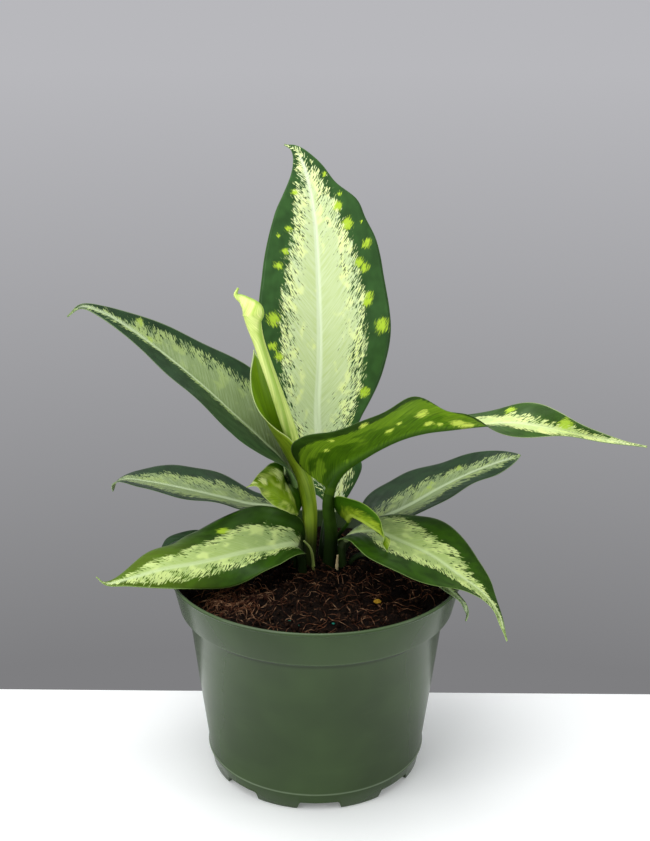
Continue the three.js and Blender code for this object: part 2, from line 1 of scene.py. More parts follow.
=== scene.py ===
"""A dieffenbachia in its nursery pot: its fine pieces and their finishes.

Sizes are millimetres, as on the solid model, and become metres where a mesh is made. The
pot's axis is at x = y = 0 in them, and the frame's pot says where that axis stands.
"""

import logging
import math
import random
from dataclasses import dataclass
from enum import IntEnum
from functools import partial
from typing import Any, Callable, Sequence

import bmesh
import bpy
import numpy as np
from mathutils import Euler, Matrix, Vector, noise


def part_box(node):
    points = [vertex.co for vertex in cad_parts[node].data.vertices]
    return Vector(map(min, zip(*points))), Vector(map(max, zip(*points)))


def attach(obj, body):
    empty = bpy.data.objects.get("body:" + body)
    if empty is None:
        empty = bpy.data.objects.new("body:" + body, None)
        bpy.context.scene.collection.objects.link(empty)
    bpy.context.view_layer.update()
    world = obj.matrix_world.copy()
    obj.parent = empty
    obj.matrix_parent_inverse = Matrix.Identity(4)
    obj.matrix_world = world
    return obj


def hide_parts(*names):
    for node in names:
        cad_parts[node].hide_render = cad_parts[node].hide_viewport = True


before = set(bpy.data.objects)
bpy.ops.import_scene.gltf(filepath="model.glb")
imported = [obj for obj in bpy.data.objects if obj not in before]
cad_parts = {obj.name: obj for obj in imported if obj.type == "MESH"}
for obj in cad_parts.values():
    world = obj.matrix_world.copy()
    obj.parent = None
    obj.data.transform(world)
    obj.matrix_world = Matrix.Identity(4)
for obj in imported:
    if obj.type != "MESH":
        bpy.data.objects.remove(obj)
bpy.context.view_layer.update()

LOG = logging.getLogger("dieffenbachia")
# A millimetre in metres
MM = 0.001
# The height inside the soil at which every stalk starts
ROOT = 98.0
# The photograph's width and height in pixels
IMAGE = (650, 841)
# Painted shade near the soil: the dark green that every stalk is painted at the moist soil,
# how much of it shows there, and the heights between which it fades
SOIL_SHADE = "#14220A"
SOIL_SHADE_SHARE = 0.92
SOIL_SHADE_HEIGHTS = (ROOT + 24, ROOT + 46)
# A distance from the margin, in millimetres, at which its clear line doesn't show
NO_RIM = 9.0
# The Wave texture's scale at which one band is one unit long
BAND = 0.31416
Point = tuple[float, float, float]
Colour = tuple[float, float, float, float]


def linear(code: str) -> Colour:
    """Turns a colour of a swatch into the linear one that a shader takes.

    Args:
        code: The sRGB colour as six hex digits after a #.

    Returns:
        Linear red, green, blue and an alpha of 1.
    """
    parts = [int(code[i:i + 2], 16) / 255 for i in (1, 3, 5)]
    return (*[c / 12.92 if c <= 0.04045 else ((c + 0.055) / 1.055) ** 2.4 for c in parts], 1.0)


# Of a colour Mix node, input 0 is the share, inputs 6 and 7 are the two colours and output 2
# is the mix. Of a Math node, inputs 0, 1 and 2 are the numbers in their order.
def add_node(tree: bpy.types.NodeTree, kind: str, inputs: dict | None = None,
             out: int | str = 0, **settings: Any) -> bpy.types.NodeSocket:
    """Adds a node with its settings and links.

    Args:
        tree: The node tree that it goes into.
        kind: The node's type, without the word ShaderNode.
        inputs: What each input gets, by name or place: an output to link, or a value.
        out: The output to hand back, by name or place.
        **settings: The node's own properties.

    Returns:
        The output, or the first input of a node that has no outputs.
    """
    node = tree.nodes.new("ShaderNode" + kind)
    for name, value in settings.items():
        setattr(node, name, value)
    for key, value in (inputs or {}).items():
        if isinstance(value, bpy.types.NodeSocket):
            tree.links.new(value, node.inputs[key])
        else:
            node.inputs[key].default_value = value
    return node.outputs[out] if len(node.outputs) else node.inputs[0]


@dataclass(frozen=True)
class Finish:
    """What one real material gives the eye, under the name of that material."""

    name: str

    def surface(self, tree: bpy.types.NodeTree) -> dict:
        """Gives the inputs of its shader, which each kind of finish works out its own way."""
        raise NotImplementedError

    def material(self) -> bpy.types.Material:
        """Gives the material, which is made when the first piece asks for it.

        Returns:
            The material.
        """
        made = bpy.data.materials.get(self.name)
        if made is None:
            made = bpy.data.materials.new(self.name)
            made.use_nodes = True
            made.node_tree.nodes.clear()
            shader = add_node(made.node_tree, "BsdfPrincipled", self.surface(made.node_tree))
            add_node(made.node_tree, "OutputMaterial", {"Surface": shader})
        return made


def in_scene(name: str, data: bpy.types.ID) -> bpy.types.Object:
    """Puts a new object in the scene.

    Args:
        name: Its name.
        data: Its mesh, curve, light or camera.

    Returns:
        The object, at the origin.
    """
    item = bpy.data.objects.new(name, data)
    bpy.context.scene.collection.objects.link(item)
    return item


def new_object(name: str, shape: bmesh.types.BMesh, *finishes: Finish,
               smooth: bool = True) -> bpy.types.Object:
    """Makes an object of a finished shape and puts it in the scene.

    Args:
        name: The piece's name.
        shape: Its mesh in metres, which this frees.
        *finishes: What its material slots hold, in order.
        smooth: Whether its faces are shaded smoothly.

    Returns:
        The object, at the origin.
    """
    for face in shape.faces:
        face.smooth = smooth
    mesh = bpy.data.meshes.new(name)
    shape.to_mesh(mesh)
    shape.free()
    for finish in finishes:
        mesh.materials.append(finish.material())
    return in_scene(name, mesh)


def pot_axis() -> Vector:
    """Says where the pot's axis meets the surface that the pot stands on."""
    low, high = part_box("pot")
    return Vector(((low.x + high.x) / 2, (low.y + high.y) / 2, low.z))


def from_axis(x: float = 0.0, y: float = 0.0, z: float = 0.0) -> Matrix:
    """Gives the move from the origin to a place, in millimetres from the pot's axis."""
    return Matrix.Translation(Vector((x, y, z)) * MM + pot_axis())


def unit(rows: np.ndarray) -> np.ndarray:
    """Gives each row's direction at length 1."""
    return rows / np.linalg.norm(rows, axis=1)[:, None]


def along(values: Sequence[float], share: np.ndarray) -> np.ndarray:
    """Reads a smooth line through evenly spaced values.

    Args:
        values: The values from the start to the end.
        share: Where to read it, from 0 to 1.

    Returns:
        The value at each place.
    """
    line = np.asarray(values, float)
    last = len(line) - 1
    place = np.clip(share, 0, 1) * last
    i = np.minimum(place.astype(int), last - 1)
    k = place - i
    before, start, end = line[np.maximum(i - 1, 0)], line[i], line[i + 1]
    after = line[np.minimum(i + 2, last)]
    return start + 0.5 * k * (end - before + k * (2 * before - 5 * start + 4 * end - after
                                                  + k * (3 * start - before - 3 * end + after)))


def ease(value: np.ndarray, low: float, high: float) -> np.ndarray:
    """Rises smoothly from 0 at low to 1 at high, for each value."""
    share = np.clip((value - low) / (high - low), 0, 1)
    return share * share * (3 - 2 * share)


def painted_soil_shade(height: np.ndarray) -> np.ndarray:
    """Says how much painted shade a stalk gets at these heights, from 0 far up to 1 at the soil.
    """
    return 1 - ease(height, *SOIL_SHADE_HEIGHTS)


class Spine:
    """A smooth line through points, measured along its length."""

    def __init__(self, points: Sequence[Point], samples: int = 900) -> None:
        """Samples the line.

        Args:
            points: What it passes through, in millimetres.
            samples: How many short pieces it is measured in.
        """
        knots = [Vector(p) for p in points]
        knots = [2 * knots[0] - knots[1], *knots, 2 * knots[-1] - knots[-2]]
        last = len(points) - 1
        line = []
        for n in range(samples + 1):
            place = last * n / samples
            i = min(int(place), last - 1)
            line.append(self.between(knots[i:i + 4], place - i))
        self.line = np.array(line)
        steps = np.linalg.norm(np.diff(self.line, axis=0), axis=1)
        self.measure = np.concatenate([[0.0], np.cumsum(steps)])
        self.length = float(self.measure[-1])

    @staticmethod
    def between(knots: Sequence[Vector], w: float) -> Vector:
        """Gives a point between the second and the third of four knots.

        Args:
            knots: The knots, which the line passes at an even pace.
            w: The share of the way, from 0 to 1.

        Returns:
            The point, in millimetres.
        """
        a, b, c = (max((knots[i] - knots[i + 1]).length, 1e-9) ** 0.5 for i in range(3))
        start, end = knots[1], knots[2]
        leave = ((start - knots[0]) / a - (end - knots[0]) / (a + b) + (end - start) / b) * b
        arrive = ((end - start) / b - (knots[3] - start) / (b + c) + (knots[3] - end) / c) * b
        return (start + leave * w + (3 * (end - start) - 2 * leave - arrive) * w * w
                + (2 * (start - end) + leave + arrive) * w ** 3)

    def at(self, place: np.ndarray) -> np.ndarray:
        """Gives the points at these millimetres along the line."""
        return np.stack([np.interp(place, self.measure, self.line[:, i]) for i in range(3)], -1)

    def heading(self, place: np.ndarray, reach: float = 0.6) -> np.ndarray:
        """Gives the line's direction at these millimetres along it."""
        ahead, behind = np.minimum(place + reach, self.length), np.maximum(place - reach, 0)
        return unit(self.at(ahead) - self.at(behind))

    def by_knot(self, share: np.ndarray) -> np.ndarray:
        """Gives points by how many of the knots lie behind them.

        Args:
            share: Shares of the way, each step from knot to knot taken as equally long.

        Returns:
            The points, in millimetres.
        """
        index = np.clip(share, 0, 1) * (len(self.line) - 1)
        return self.at(np.interp(index, np.arange(len(self.line)), self.measure))


@dataclass(frozen=True)
class VeinRun:
    """How the side veins of a blade run: they leave the rib and bend towards the tip.

    A point's vein is named by where it leaves the rib: its place along the rib less lean
    times its distance from the rib, less bend times that distance squared.
    """

    lean: float = 1.1
    bend: float = 0.012
    spacing: float = 6.8

    def name_of(self, place: Any, away: Any) -> Any:
        """Gives the vein's name from millimetres along the rib and away from it."""
        return place - self.lean * abs(away) - self.bend * away ** 2


VEINS = VeinRun()
TO_CAMERA = np.array([0.0, -1.0, 0.0])


class Half(IntEnum):
    """The two halves of a blade, seen from its base towards its tip."""

    LEFT = 0
    RIGHT = 1


@dataclass(frozen=True)
class Dent:
    """A dent or a swelling in the margin of one half: its share of the blade's length, how
    many millimetres it adds to the half width there, and the share over which it fades."""

    half: Half
    place: float
    change: float
    reach: float


@dataclass(frozen=True)
class LeafForm:
    """The form of one leaf from its root in the soil to its tip, as on the solid model.

    spine is the line of stalk and rib, and stalk its length before the blade. rib is half
    the stalk's width. half, swell and taper, or else outline, give the blade's half widths
    left and right of the rib, and dents change them here and there. face is where the upper
    side looks, roll turns it about the rib, fold lifts both halves, curl bends them back
    down, and wave is the margin's: its height, its number and where each half's begins, in
    degrees. edge is the blade's thickness, rib_depth the stalk's depth as a share of rib,
    tip_share what is left of the rib's width at the tip, and thinning how fast it thins.
    """

    spine: Sequence[Point]
    stalk: float
    rib: float
    face: Point
    roll: Sequence[float]
    fold: Sequence[float]
    curl: Sequence[float]
    wave: tuple[float, float, float, float] = (0.0, 1.0, 0.0, 0.0)
    half: tuple[float, float] = (0.0, 0.0)
    swell: float = 1.0
    taper: float = 1.0
    outline: Sequence[Sequence[float]] | None = None
    dents: Sequence[Dent] = ()
    edge: float = 0.8
    rib_depth: float = 1.7
    tip_share: float = 0.15
    thinning: float = 1.3

    def width(self, hand: Half, share: np.ndarray) -> np.ndarray:
        """Gives a half's width along the blade.

        Args:
            hand: The half left or right of the rib.
            share: Places from 0 at the blade's base to 1 at its tip.

        Returns:
            The half width at each place.
        """
        x = np.clip(share, 0, 1)
        if self.outline:
            wide = along(self.outline[hand], x)
        else:
            widest = self.swell / (self.swell + self.taper)
            wide = (self.half[hand] * (x / widest) ** self.swell
                    * ((1 - x) / (1 - widest)) ** self.taper)
        for dent in self.dents:
            if dent.half is hand:
                wide = wide + dent.change * np.exp(-((x - dent.place) / dent.reach) ** 2)
        return np.maximum(wide, 0)


@dataclass(frozen=True)
class Spot:
    """A lime spot: its share of the blade's length and half width, and its radius."""

    u: float
    across: float
    radius: float


@dataclass(frozen=True)
class Marking:
    """A blade's markings.

    left and right say how far the cream reaches from the rib, as shares of the half width
    from base to tip. fresh is how fresh a green the two margins turn towards the tip, from
    0 to 1, and shift how many millimetres right of the middle the rib shows.
    """

    left: Sequence[float] = (0.0, 0.0)
    right: Sequence[float] = (0.0, 0.0)
    spots: Sequence[Spot] = ()
    fresh: tuple[float, float] = (0.0, 0.0)
    shift: Sequence[float] = (0.0, 0.0)


@dataclass(frozen=True)
class LeafColours:
    """The colours of one side of a blade, as sRGB swatches.

    green and deep mix in its margins, base and cream in its middle from the blade's base
    on, and bright lies in patches where the two meet. base is painted shade, which gives way
    to cream further up the blade. rib and lime are the rib's line and the spots, and rim is
    the clear line of its very edge.
    """

    green: str
    deep: str
    base: str
    cream: str
    bright: str
    rib: str
    lime: str
    rim: str


@dataclass(frozen=True)
class BladeFinish(Finish):
    """The skin of a variegated blade: living leaf with a thin wax layer, grown and not made.

    It gives the eye a satin green margin that breaks up along the side veins into a cream
    middle, with dark flecks in the cream and lime spots in the green. feather and islands
    are how many millimetres fine and broad noise move the cream's limit, spread moves all
    of it outwards, and soft is how gradually it ends. hair and glow are the shares of hair
    veins and bright patches in the cream. shine is how much the wax mirrors, and roughness
    the range over the blade.
    """

    colours: LeafColours
    feather: float = 22.0
    islands: float = 11.0
    spread: float = 0.0
    soft: float = 0.6
    hair: float = 0.5
    glow: float = 0.85
    shine: float = 0.25
    roughness: tuple[float, float] = (0.34, 0.46)

    def surface(self, tree: bpy.types.NodeTree) -> dict:
        """Works the shader's inputs out from the fields that the leaf's mesh carries.

        Args:
            tree: The material's nodes.

        Returns:
            The inputs by name.
        """
        node = partial(add_node, tree)
        c = self.colours
        streak, place = (node("Attribute", out="Vector", attribute_name=name)
                         for name in ("streak", "place"))
        green, age, rib, rim, lime, fresh, foot = (
            node("Attribute", out="Fac", attribute_name=name)
            for name in ("green", "age", "rib", "rim", "lime", "fresh", "foot"))
        # Flecks 0.9 mm wide and 2 mm long, islands and clouds about 7 mm across, and hair
        # veins, 0.2 mm apart in the real blade and drawn at 0.9 mm so that they show
        fine, blotch, cloud, hair = (
            node("TexNoise", {
                "Vector": node("Mapping", {
                    "Vector": source, "Location": (0, 0, shift), "Scale": scale}),
                "Scale": 1.0, "Detail": detail, "Roughness": 0.55})
            for source, shift, scale, detail in (
                (streak, 0.0, (1.15, 0.5, 1), 1.0), (streak, 11.0, (0.17, 0.13, 1), 2.0),
                (place, 31.0, (0.13, 0.17, 1), 1.0), (streak, 57.0, (1.1, 0.12, 1), 2.0)))
        # Side veins, one every 6.8 mm along the rib, and cells: real ones are about 0.1 mm,
        # drawn at 0.5 mm so that they show
        wave = node("TexWave", {
            "Vector": streak, "Scale": BAND / VEINS.spacing, "Distortion": 0.0},
            out="Fac", bands_direction="X")
        cells = node("TexNoise", {
            "Vector": node("TexCoord", out="Object"), "Scale": 1 / (0.5 * MM), "Detail": 2.0})
        # The cream's limit, moved back and forth by both noises, the bright patches and spots,
        # whose outlines noise breaks up, and the painted shade near the soil
        edge = node("Math", {0: fine, 1: self.feather, 2: green}, operation="MULTIPLY_ADD")
        limit, patch, speck, foot = (
            node("Math", {0: field, 1: times, 2: plus}, operation="MULTIPLY_ADD")
            for field, times, plus in (
                (blotch, self.islands, edge), (cloud, 24.0, green), (fine, 1.8, lime),
                (foot, SOIL_SHADE_SHARE, 0.0)))
        middle = (self.feather + self.islands) / 2 + self.spread
        margin, glow, spot, line = (
            node("MapRange", {"Value": field, "From Min": low, "From Max": high, "To Max": most},
                 interpolation_type="SMOOTHSTEP")
            for field, low, high, most in (
                (limit, middle - self.soft, middle + self.soft, 1.0),
                (patch, 8.0, 13.0, self.glow), (speck, 1.0, 1.45, 0.9), (rib, -0.9, 0.5, 0.75)))
        past_base_shade, hair, shade, vein, clear = (
            node("MapRange", {"Value": field, "From Min": low, "From Max": high, "To Max": most})
            for field, low, high, most in (
                (age, 0.0, 0.4, 1.0), (hair, 0.4, 0.7, self.hair), (cloud, 0.35, 0.65, 1.0),
                (wave, 0.85, 1.0, 1.0), (rim, 0.55, 0.2, 0.75)))
        # The middle goes from base, painted shade at the blade's base, to cream, then bright
        # patches and hair veins
        cream, skin = linear(c.base), linear(c.green)
        for share, swatch in ((past_base_shade, c.cream), (glow, c.bright), (hair, c.rib)):
            cream = node("Mix", {0: share, 6: cream, 7: linear(swatch)}, 2, data_type="RGBA")
        for share, swatch in ((shade, c.deep), (fresh, c.lime)):
            skin = node("Mix", {0: share, 6: skin, 7: linear(swatch)}, 2, data_type="RGBA")
        colour = node("Mix", {0: margin, 6: cream, 7: skin}, 2, data_type="RGBA")
        # Over it all go the spots, the rib's line, the clear rim and the painted shade near the
        # soil
        for share, swatch in ((spot, c.lime), (line, c.rib), (clear, c.rim), (foot, SOIL_SHADE)):
            colour = node("Mix", {0: share, 6: colour, 7: linear(swatch)}, 2, data_type="RGBA")
        gloss = node("MapRange", {
            "Value": cloud, "From Min": 0.3, "From Max": 0.7,
            "To Min": self.roughness[0], "To Max": self.roughness[1]})
        relief = node("Math", {0: vein, 1: -0.3, 2: cells}, operation="MULTIPLY_ADD")
        bump = node("Bump", {"Height": relief, "Strength": 0.25, "Distance": 0.1 * MM})
        return {"Base Color": colour, "Roughness": gloss, "Normal": bump, "IOR": 1.42,
                "Specular IOR Level": self.shine}


@dataclass(frozen=True)
class StriateFinish(Finish):
    """Leaf tissue with parallel veins: a sheath, a rolled leaf, a stub or a dry bract.

    It gives the eye fine lengthwise lines in two shades, with an edge of its own colour.
    lines is how close the lines lie, contrast where the noise turns from one shade to the
    other, and border between how many millimetres from the margin the edge's colour fades.
    """

    pale: str
    dark: str
    edge: str
    roughness: float = 0.42
    lines: float = 1.1
    contrast: tuple[float, float] = (0.38, 0.62)
    border: tuple[float, float] = (0.9, 0.35)

    def surface(self, tree: bpy.types.NodeTree) -> dict:
        """Works the shader's inputs out from the fields that the piece's mesh carries.

        Args:
            tree: The material's nodes.

        Returns:
            The inputs by name.
        """
        node = partial(add_node, tree)
        place = node("Attribute", out="Vector", attribute_name="place")
        rim, foot = (node("Attribute", out="Fac", attribute_name=name)
                     for name in ("rim", "foot"))
        # Veins are 0.3 mm apart in the real one and drawn about three times as coarse
        lines, cloud = (
            node("TexNoise", {"Vector": node("Mapping", {"Vector": place, "Scale": scale}),
                              "Scale": 1.0, "Detail": 2.0})
            for scale in ((0.03, self.lines, 1), (0.05, 0.2, 1)))
        both = node("Math", {0: lines, 1: cloud}, operation="ADD")
        shade, edge = (
            node("MapRange", {"Value": field, "From Min": low, "From Max": high, "To Max": most})
            for field, low, high, most in (
                (both, 2 * self.contrast[0], 2 * self.contrast[1], 1.0),
                (rim, *self.border, 0.85)))
        # Painted shade near the soil
        foot = node("Math", {0: foot, 1: SOIL_SHADE_SHARE}, operation="MULTIPLY")
        colour = linear(self.pale)
        for share, swatch in ((shade, self.dark), (edge, self.edge), (foot, SOIL_SHADE)):
            colour = node("Mix", {0: share, 6: colour, 7: linear(swatch)}, 2, data_type="RGBA")
        bump = node("Bump", {"Height": lines, "Strength": 0.35, "Distance": 0.12 * MM})
        return {"Base Color": colour, "Roughness": self.roughness, "Normal": bump, "IOR": 1.42}


@dataclass(frozen=True)
class MouldedPlastic(Finish):
    """Polypropylene, injection moulded in a polished mould: the nursery pot.

    It gives the eye a smooth deep green with a soft gloss, a little haze and rub marks. Its
    lines go once round at a height, with a half width in millimetres, a colour and a share:
    painted shade in the corner under the band, and painted highlights along the band's foot,
    the foot line and the lip.
    """

    name: str = "polypropylene_moulded"
    green: str = "#304420"
    dull: str = "#283A1A"
    dust: str = "#3A4E2E"
    # Painted shade under the band, then painted highlights at the band's foot, the foot line and
    # the lip
    lines: tuple[tuple[float, float, str, float], ...] = (
        (91.5, 1.4, "#101A0A", 0.5), (95.4, 0.6, "#5C7050", 0.15), (10.6, 0.5, "#93A488", 0.3),
        (114.9, 0.6, "#7C8E70", 0.2))

    def surface(self, tree: bpy.types.NodeTree) -> dict:
        """Works the shader's inputs out from the place on the pot.

        Args:
            tree: The material's nodes.

        Returns:
            The inputs by name.
        """
        node = partial(add_node, tree)
        place = node("TexCoord", out="Object")
        # Haze some 40 mm across, rub marks 6 mm high and long round the wall, and a grain
        # of 0.7 mm, which is finer in the real one
        haze, rub, grain = (
            node("TexNoise", {"Vector": node("Mapping", {"Vector": place, "Scale": scale}),
                              "Scale": 1.0, "Detail": detail})
            for scale, detail in (((25, 25, 25), 2.0), ((45, 45, 160), 2.0),
                                  ((1400, 1400, 1400), 1.0)))
        hazy, rubbed = (
            node("MapRange", {"Value": field, "From Min": low, "From Max": high, "To Max": most})
            for field, low, high, most in ((haze, 0.35, 0.65, 1.0), (rub, 0.58, 0.75, 0.12)))
        layers = [(hazy, self.dull), (rubbed, self.dust)]
        height = node("SeparateXYZ", {"Vector": place}, out="Z")
        # The rings of painted shade and painted highlight, each once round at its height
        for at, half, swatch, most in self.lines:
            away = node("Math", {0: height, 1: at * MM}, operation="SUBTRACT")
            away = node("Math", {0: away}, operation="ABSOLUTE")
            layers.append((node("MapRange", {
                "Value": away, "From Min": half * MM, "From Max": 0.2 * half * MM,
                "To Max": most}), swatch))
        colour = linear(self.green)
        for share, swatch in layers:
            colour = node("Mix", {0: share, 6: colour, 7: linear(swatch)}, 2, data_type="RGBA")
        gloss = node("MapRange", {
            "Value": rub, "From Min": 0.4, "From Max": 0.75, "To Min": 0.24, "To Max": 0.27})
        bump = node("Bump", {"Height": grain, "Strength": 0.12, "Distance": 0.03 * MM})
        return {"Base Color": colour, "Roughness": gloss, "Normal": bump, "IOR": 1.49,
                "Specular IOR Level": 0.27}


@dataclass(frozen=True)
class LooseMix(Finish):
    """What lies in the pot: moist peat, bark and coir, and a few dry scraps, all matt.

    It gives the eye colours that change from crumb to crumb. grain is a crumb's size in
    millimetres.
    """

    dark: str
    mid: str
    pale: str
    grain: float
    roughness: float = 0.85

    def surface(self, tree: bpy.types.NodeTree) -> dict:
        """Works the shader's inputs out from the place on the piece.

        Args:
            tree: The material's nodes.

        Returns:
            The inputs by name.
        """
        node = partial(add_node, tree)
        place = node("TexCoord", out="Object")
        patch, crumb = (
            node("TexNoise", {"Vector": place, "Scale": 1 / (size * MM), "Detail": 3.0})
            for size in (self.grain * 2.5, self.grain * 0.5))
        colour = linear(self.dark)
        for field, low, high, swatch in ((patch, 0.4, 0.62, self.mid),
                                         (crumb, 0.5, 0.75, self.pale)):
            share = node("MapRange", {"Value": field, "From Min": low, "From Max": high})
            colour = node("Mix", {0: share, 6: colour, 7: linear(swatch)}, 2, data_type="RGBA")
        bump = node("Bump", {"Height": crumb, "Strength": 0.7, "Distance": 0.4 * MM})
        return {"Base Color": colour, "Roughness": self.roughness, "Normal": bump,
                "Specular IOR Level": 0.06}


Wrap = Callable[[np.ndarray, np.ndarray], tuple[np.ndarray, dict[str, np.ndarray]]]


def wrapped(columns: int, rows: int, wrap: Wrap) -> bmesh.types.BMesh:
    """Rolls a flat grid up into a closed skin and fills its two ends.

    Args:
        columns: Faces around.
        rows: Faces along.
        wrap: Takes the shares around and along of all points, and gives their places in
            millimetres and their fields by name.

    Returns:
        The skin, in metres, with its normals outwards.
    """
    shape = bmesh.new()
    shape.loops.layers.uv.new("UVMap")
    bmesh.ops.create_grid(shape, x_segments=columns, y_segments=rows, size=0.5, calc_uvs=True)
    flat = np.array([v.co for v in shape.verts]) + 0.5
    points, fields = wrap(flat[:, 0], flat[:, 1])
    for name, values in fields.items():
        vectors = values.ndim == 2
        layers = shape.verts.layers
        layer = (layers.float_vector if vectors else layers.float).new(name)
        for vert, value in zip(shape.verts, values):
            vert[layer] = Vector(value) if vectors else float(value)
    axis = pot_axis()
    for vert, point in zip(shape.verts, points * MM):
        vert.co = Vector(point) + axis
    bmesh.ops.remove_doubles(shape, verts=shape.verts, dist=2e-6)
    bmesh.ops.holes_fill(shape, edges=shape.edges, sides=0)
    bmesh.ops.recalc_face_normals(shape, faces=shape.faces)
    return shape


@dataclass
class Leaf:
    """One leaf: its stalk, rib and blade in a single skin of two sides.

    Of the rows, stalk_share lie on the stalk. rib_columns is the share of a half's columns
    that lie on the rib, crowding draws the columns together on the rib and beside it, and
    from closing on they round off the margin. sheet is the thickness beside the rib. groove
    is the depth of the groove along a rib that is 6 mm wide, and groove_width its width as a
    share of the rib's. quilt is how deep the side veins lie, and quilt_margins over how many
    millimetres they fade out at the rib and at the margin. slopes scale the distance from
    the cream's limit inside and outside it, and all_green is its value on the stalk.
    rib_line is half the width of the rib's line at the blade's base and at its tip.
    """

    node: str
    slot: str
    form: LeafForm
    upper: Finish
    under: Finish
    seed: int
    marking: Marking = Marking()
    half_columns: int = 22
    rows: int = 140
    sheet: float = 0.6
    stalk_share: float = 0.2
    closing: float = 0.86
    groove: float = 0.8
    groove_width: float = 0.45
    quilt_margins: tuple[float, float] = (3.0, 4.0)
    quilt: float = 0.2
    rib_columns: float = 0.14
    crowding: tuple[float, float] = (0.6, 1.08)
    slopes: tuple[float, float] = (0.42, 1.5)
    all_green: float = 30.0
    rib_line: tuple[float, float] = (1.9, 0.5)
    sheath: bool = False

    def places(self, share: np.ndarray, length: float) -> np.ndarray:
        """Says how far along the leaf each row is.

        Args:
            share: Shares of the grid's length.
            length: The leaf's length in millimetres.

        Returns:
            Millimetres from the root, closer together at the blade's base and tip.
        """
        stalk = self.form.stalk
        start = self.stalk_share if stalk else 0.0
        blade = np.clip((share - start) / (1 - start), 0, 1)
        even = (blade + (1 - np.cos(math.pi * blade)) / 2) / 2
        before = stalk * np.clip(share / start, 0, 1) if stalk else 0.0
        return before + (length - stalk) * even

    def wrap(self, around: np.ndarray, share: np.ndarray) -> tuple[np.ndarray, dict]:
        """Lays the grid on the leaf: the upper side left to right, then the lower one back.

        Args:
            around: Shares of the way around the leaf.
            share: Shares of the way along it.

        Returns:
            Points in millimetres, and the fields that its finish reads.
        """
        form = self.form
        spine = Spine(form.spine)
        s = self.places(share, spine.length)
        t = s / spine.length
        u = (s - form.stalk) / (spine.length - form.stalk)
        lower = around > 0.5 + 1e-9
        across = np.where(lower, 3 - 4 * around, 4 * around - 1)
        m, hand = np.abs(across), np.where(across < 0, -1.0, 1.0)

        tangent = spine.heading(s)
        face = np.array(form.face, float)
        normal = unit(face - (tangent @ face)[:, None] * tangent)
        roll = np.radians(along(form.roll, u))[:, None]
        normal = normal * np.cos(roll) + np.cross(tangent, normal) * np.sin(roll)
        side = np.cross(tangent, normal)

        rib = form.rib * (1 - (1 - form.tip_share) * t)
        depth = form.edge + (form.rib * form.rib_depth - form.edge) * (1 - t) ** form.thinning
        half = np.hypot(rib, np.where(hand < 0, form.width(Half.LEFT, u),
                                      form.width(Half.RIGHT, u)))
        on_rib, beside = self.crowding
        past = np.clip((m - self.rib_columns) / (1 - self.rib_columns), 0, 1)
        reach = rib * np.sin(math.pi / 2 * m ** on_rib) + (half - rib) * past ** beside
        if self.sheath:
            reach = half * m
        fold = np.radians(along(form.fold, u))
        curl = np.radians(along(form.curl, u))
        curl = np.where(np.abs(curl) < 1e-3, 1e-3, curl)
        height, count, *phases = form.wave
        phase = np.radians(np.where(hand < 0, phases[0], phases[1]))
        swing = (height * np.sin(math.pi * np.clip(u, 0, 1))
                 * np.sin(math.tau * count * u + phase))
        angle = fold - curl * reach / half
        out = half * (np.sin(fold) - np.sin(angle)) / curl
        rise = half * (np.cos(angle) - np.cos(fold)) / curl + swing * (reach / half) ** 2
        round_share = np.sqrt(np.clip(1 - (reach / rib) ** 2, 0, 1))

        dist = hand * reach - along(self.marking.shift, u)
        vein = VEINS.name_of(s, dist)
        by_rib, by_margin = self.quilt_margins
        blade = (ease(reach, rib, rib + by_rib) * ease(half - reach, 0, by_margin)
                 * (half > rib * 1.5))
        sunk = (0.5 + 0.5 * np.cos(math.tau * vein / VEINS.spacing)) ** 3
        lift = -self.quilt * sunk * blade
        closing = np.sqrt(1 - np.clip((m - self.closing) / (1 - self.closing), 0, 1) ** 2)
        channel = (closing * self.groove * (1 - t) * form.rib / 3
                   * np.exp(-(reach / (self.groove_width * rib)) ** 2))
        thick = (self.sheet + (depth - form.edge) * round_share) * closing
        top = rise + (depth - form.edge) / 2 + lift - channel - self.sheet * (1 - closing) / 2
        lean = angle * ease(reach, 0, 0.6 * rib)
        down = np.where(lower, thick - channel, 0.0)
        x = hand * (out + np.sin(lean) * down)
        z = top - np.cos(lean) * down
        points = spine.at(s) + side * x[:, None] + normal * z[:, None]

        mark, left = self.marking, dist < 0
        limit = np.where(left, along(mark.left, u), along(mark.right, u))
        green = reach * hand * np.where(left, -1, 1) - limit * half
        start, end = self.rib_line
        line = start + (end - start) * np.clip(u, 0, 1) ** 0.7 - 2 * ease(u, 0.92, 1)
        # Each leaf reads the noise at a depth of its own, so that no two are alike
        layer = np.full_like(s, 97.0 * self.seed)
        inner, outer = self.slopes
        fields = {
            "streak": np.stack([vein, dist, layer], -1),
            "place": np.stack([s, dist, layer], -1),
            "green": np.where(u < 0, self.all_green, green * np.where(green < 0, inner, outer)),
            # Painted shade on the stalk, and on the whole sheath, near the soil
            "foot": painted_soil_shade(points[:, 2]) * ((u < 0.05) | self.sheath),
            "age": np.clip(u, 0, 1),
            "rib": np.where(u < 0, -1.0, line - np.abs(dist)),
            "rim": half - reach + np.where(u < 0.01, NO_RIM, 0.0),
            "lime": self.lime(s, spine.length, hand * reach),
            "fresh": np.where(left, *mark.fresh) * ease(u, 0.35, 0.75),
        }
        return points, fields

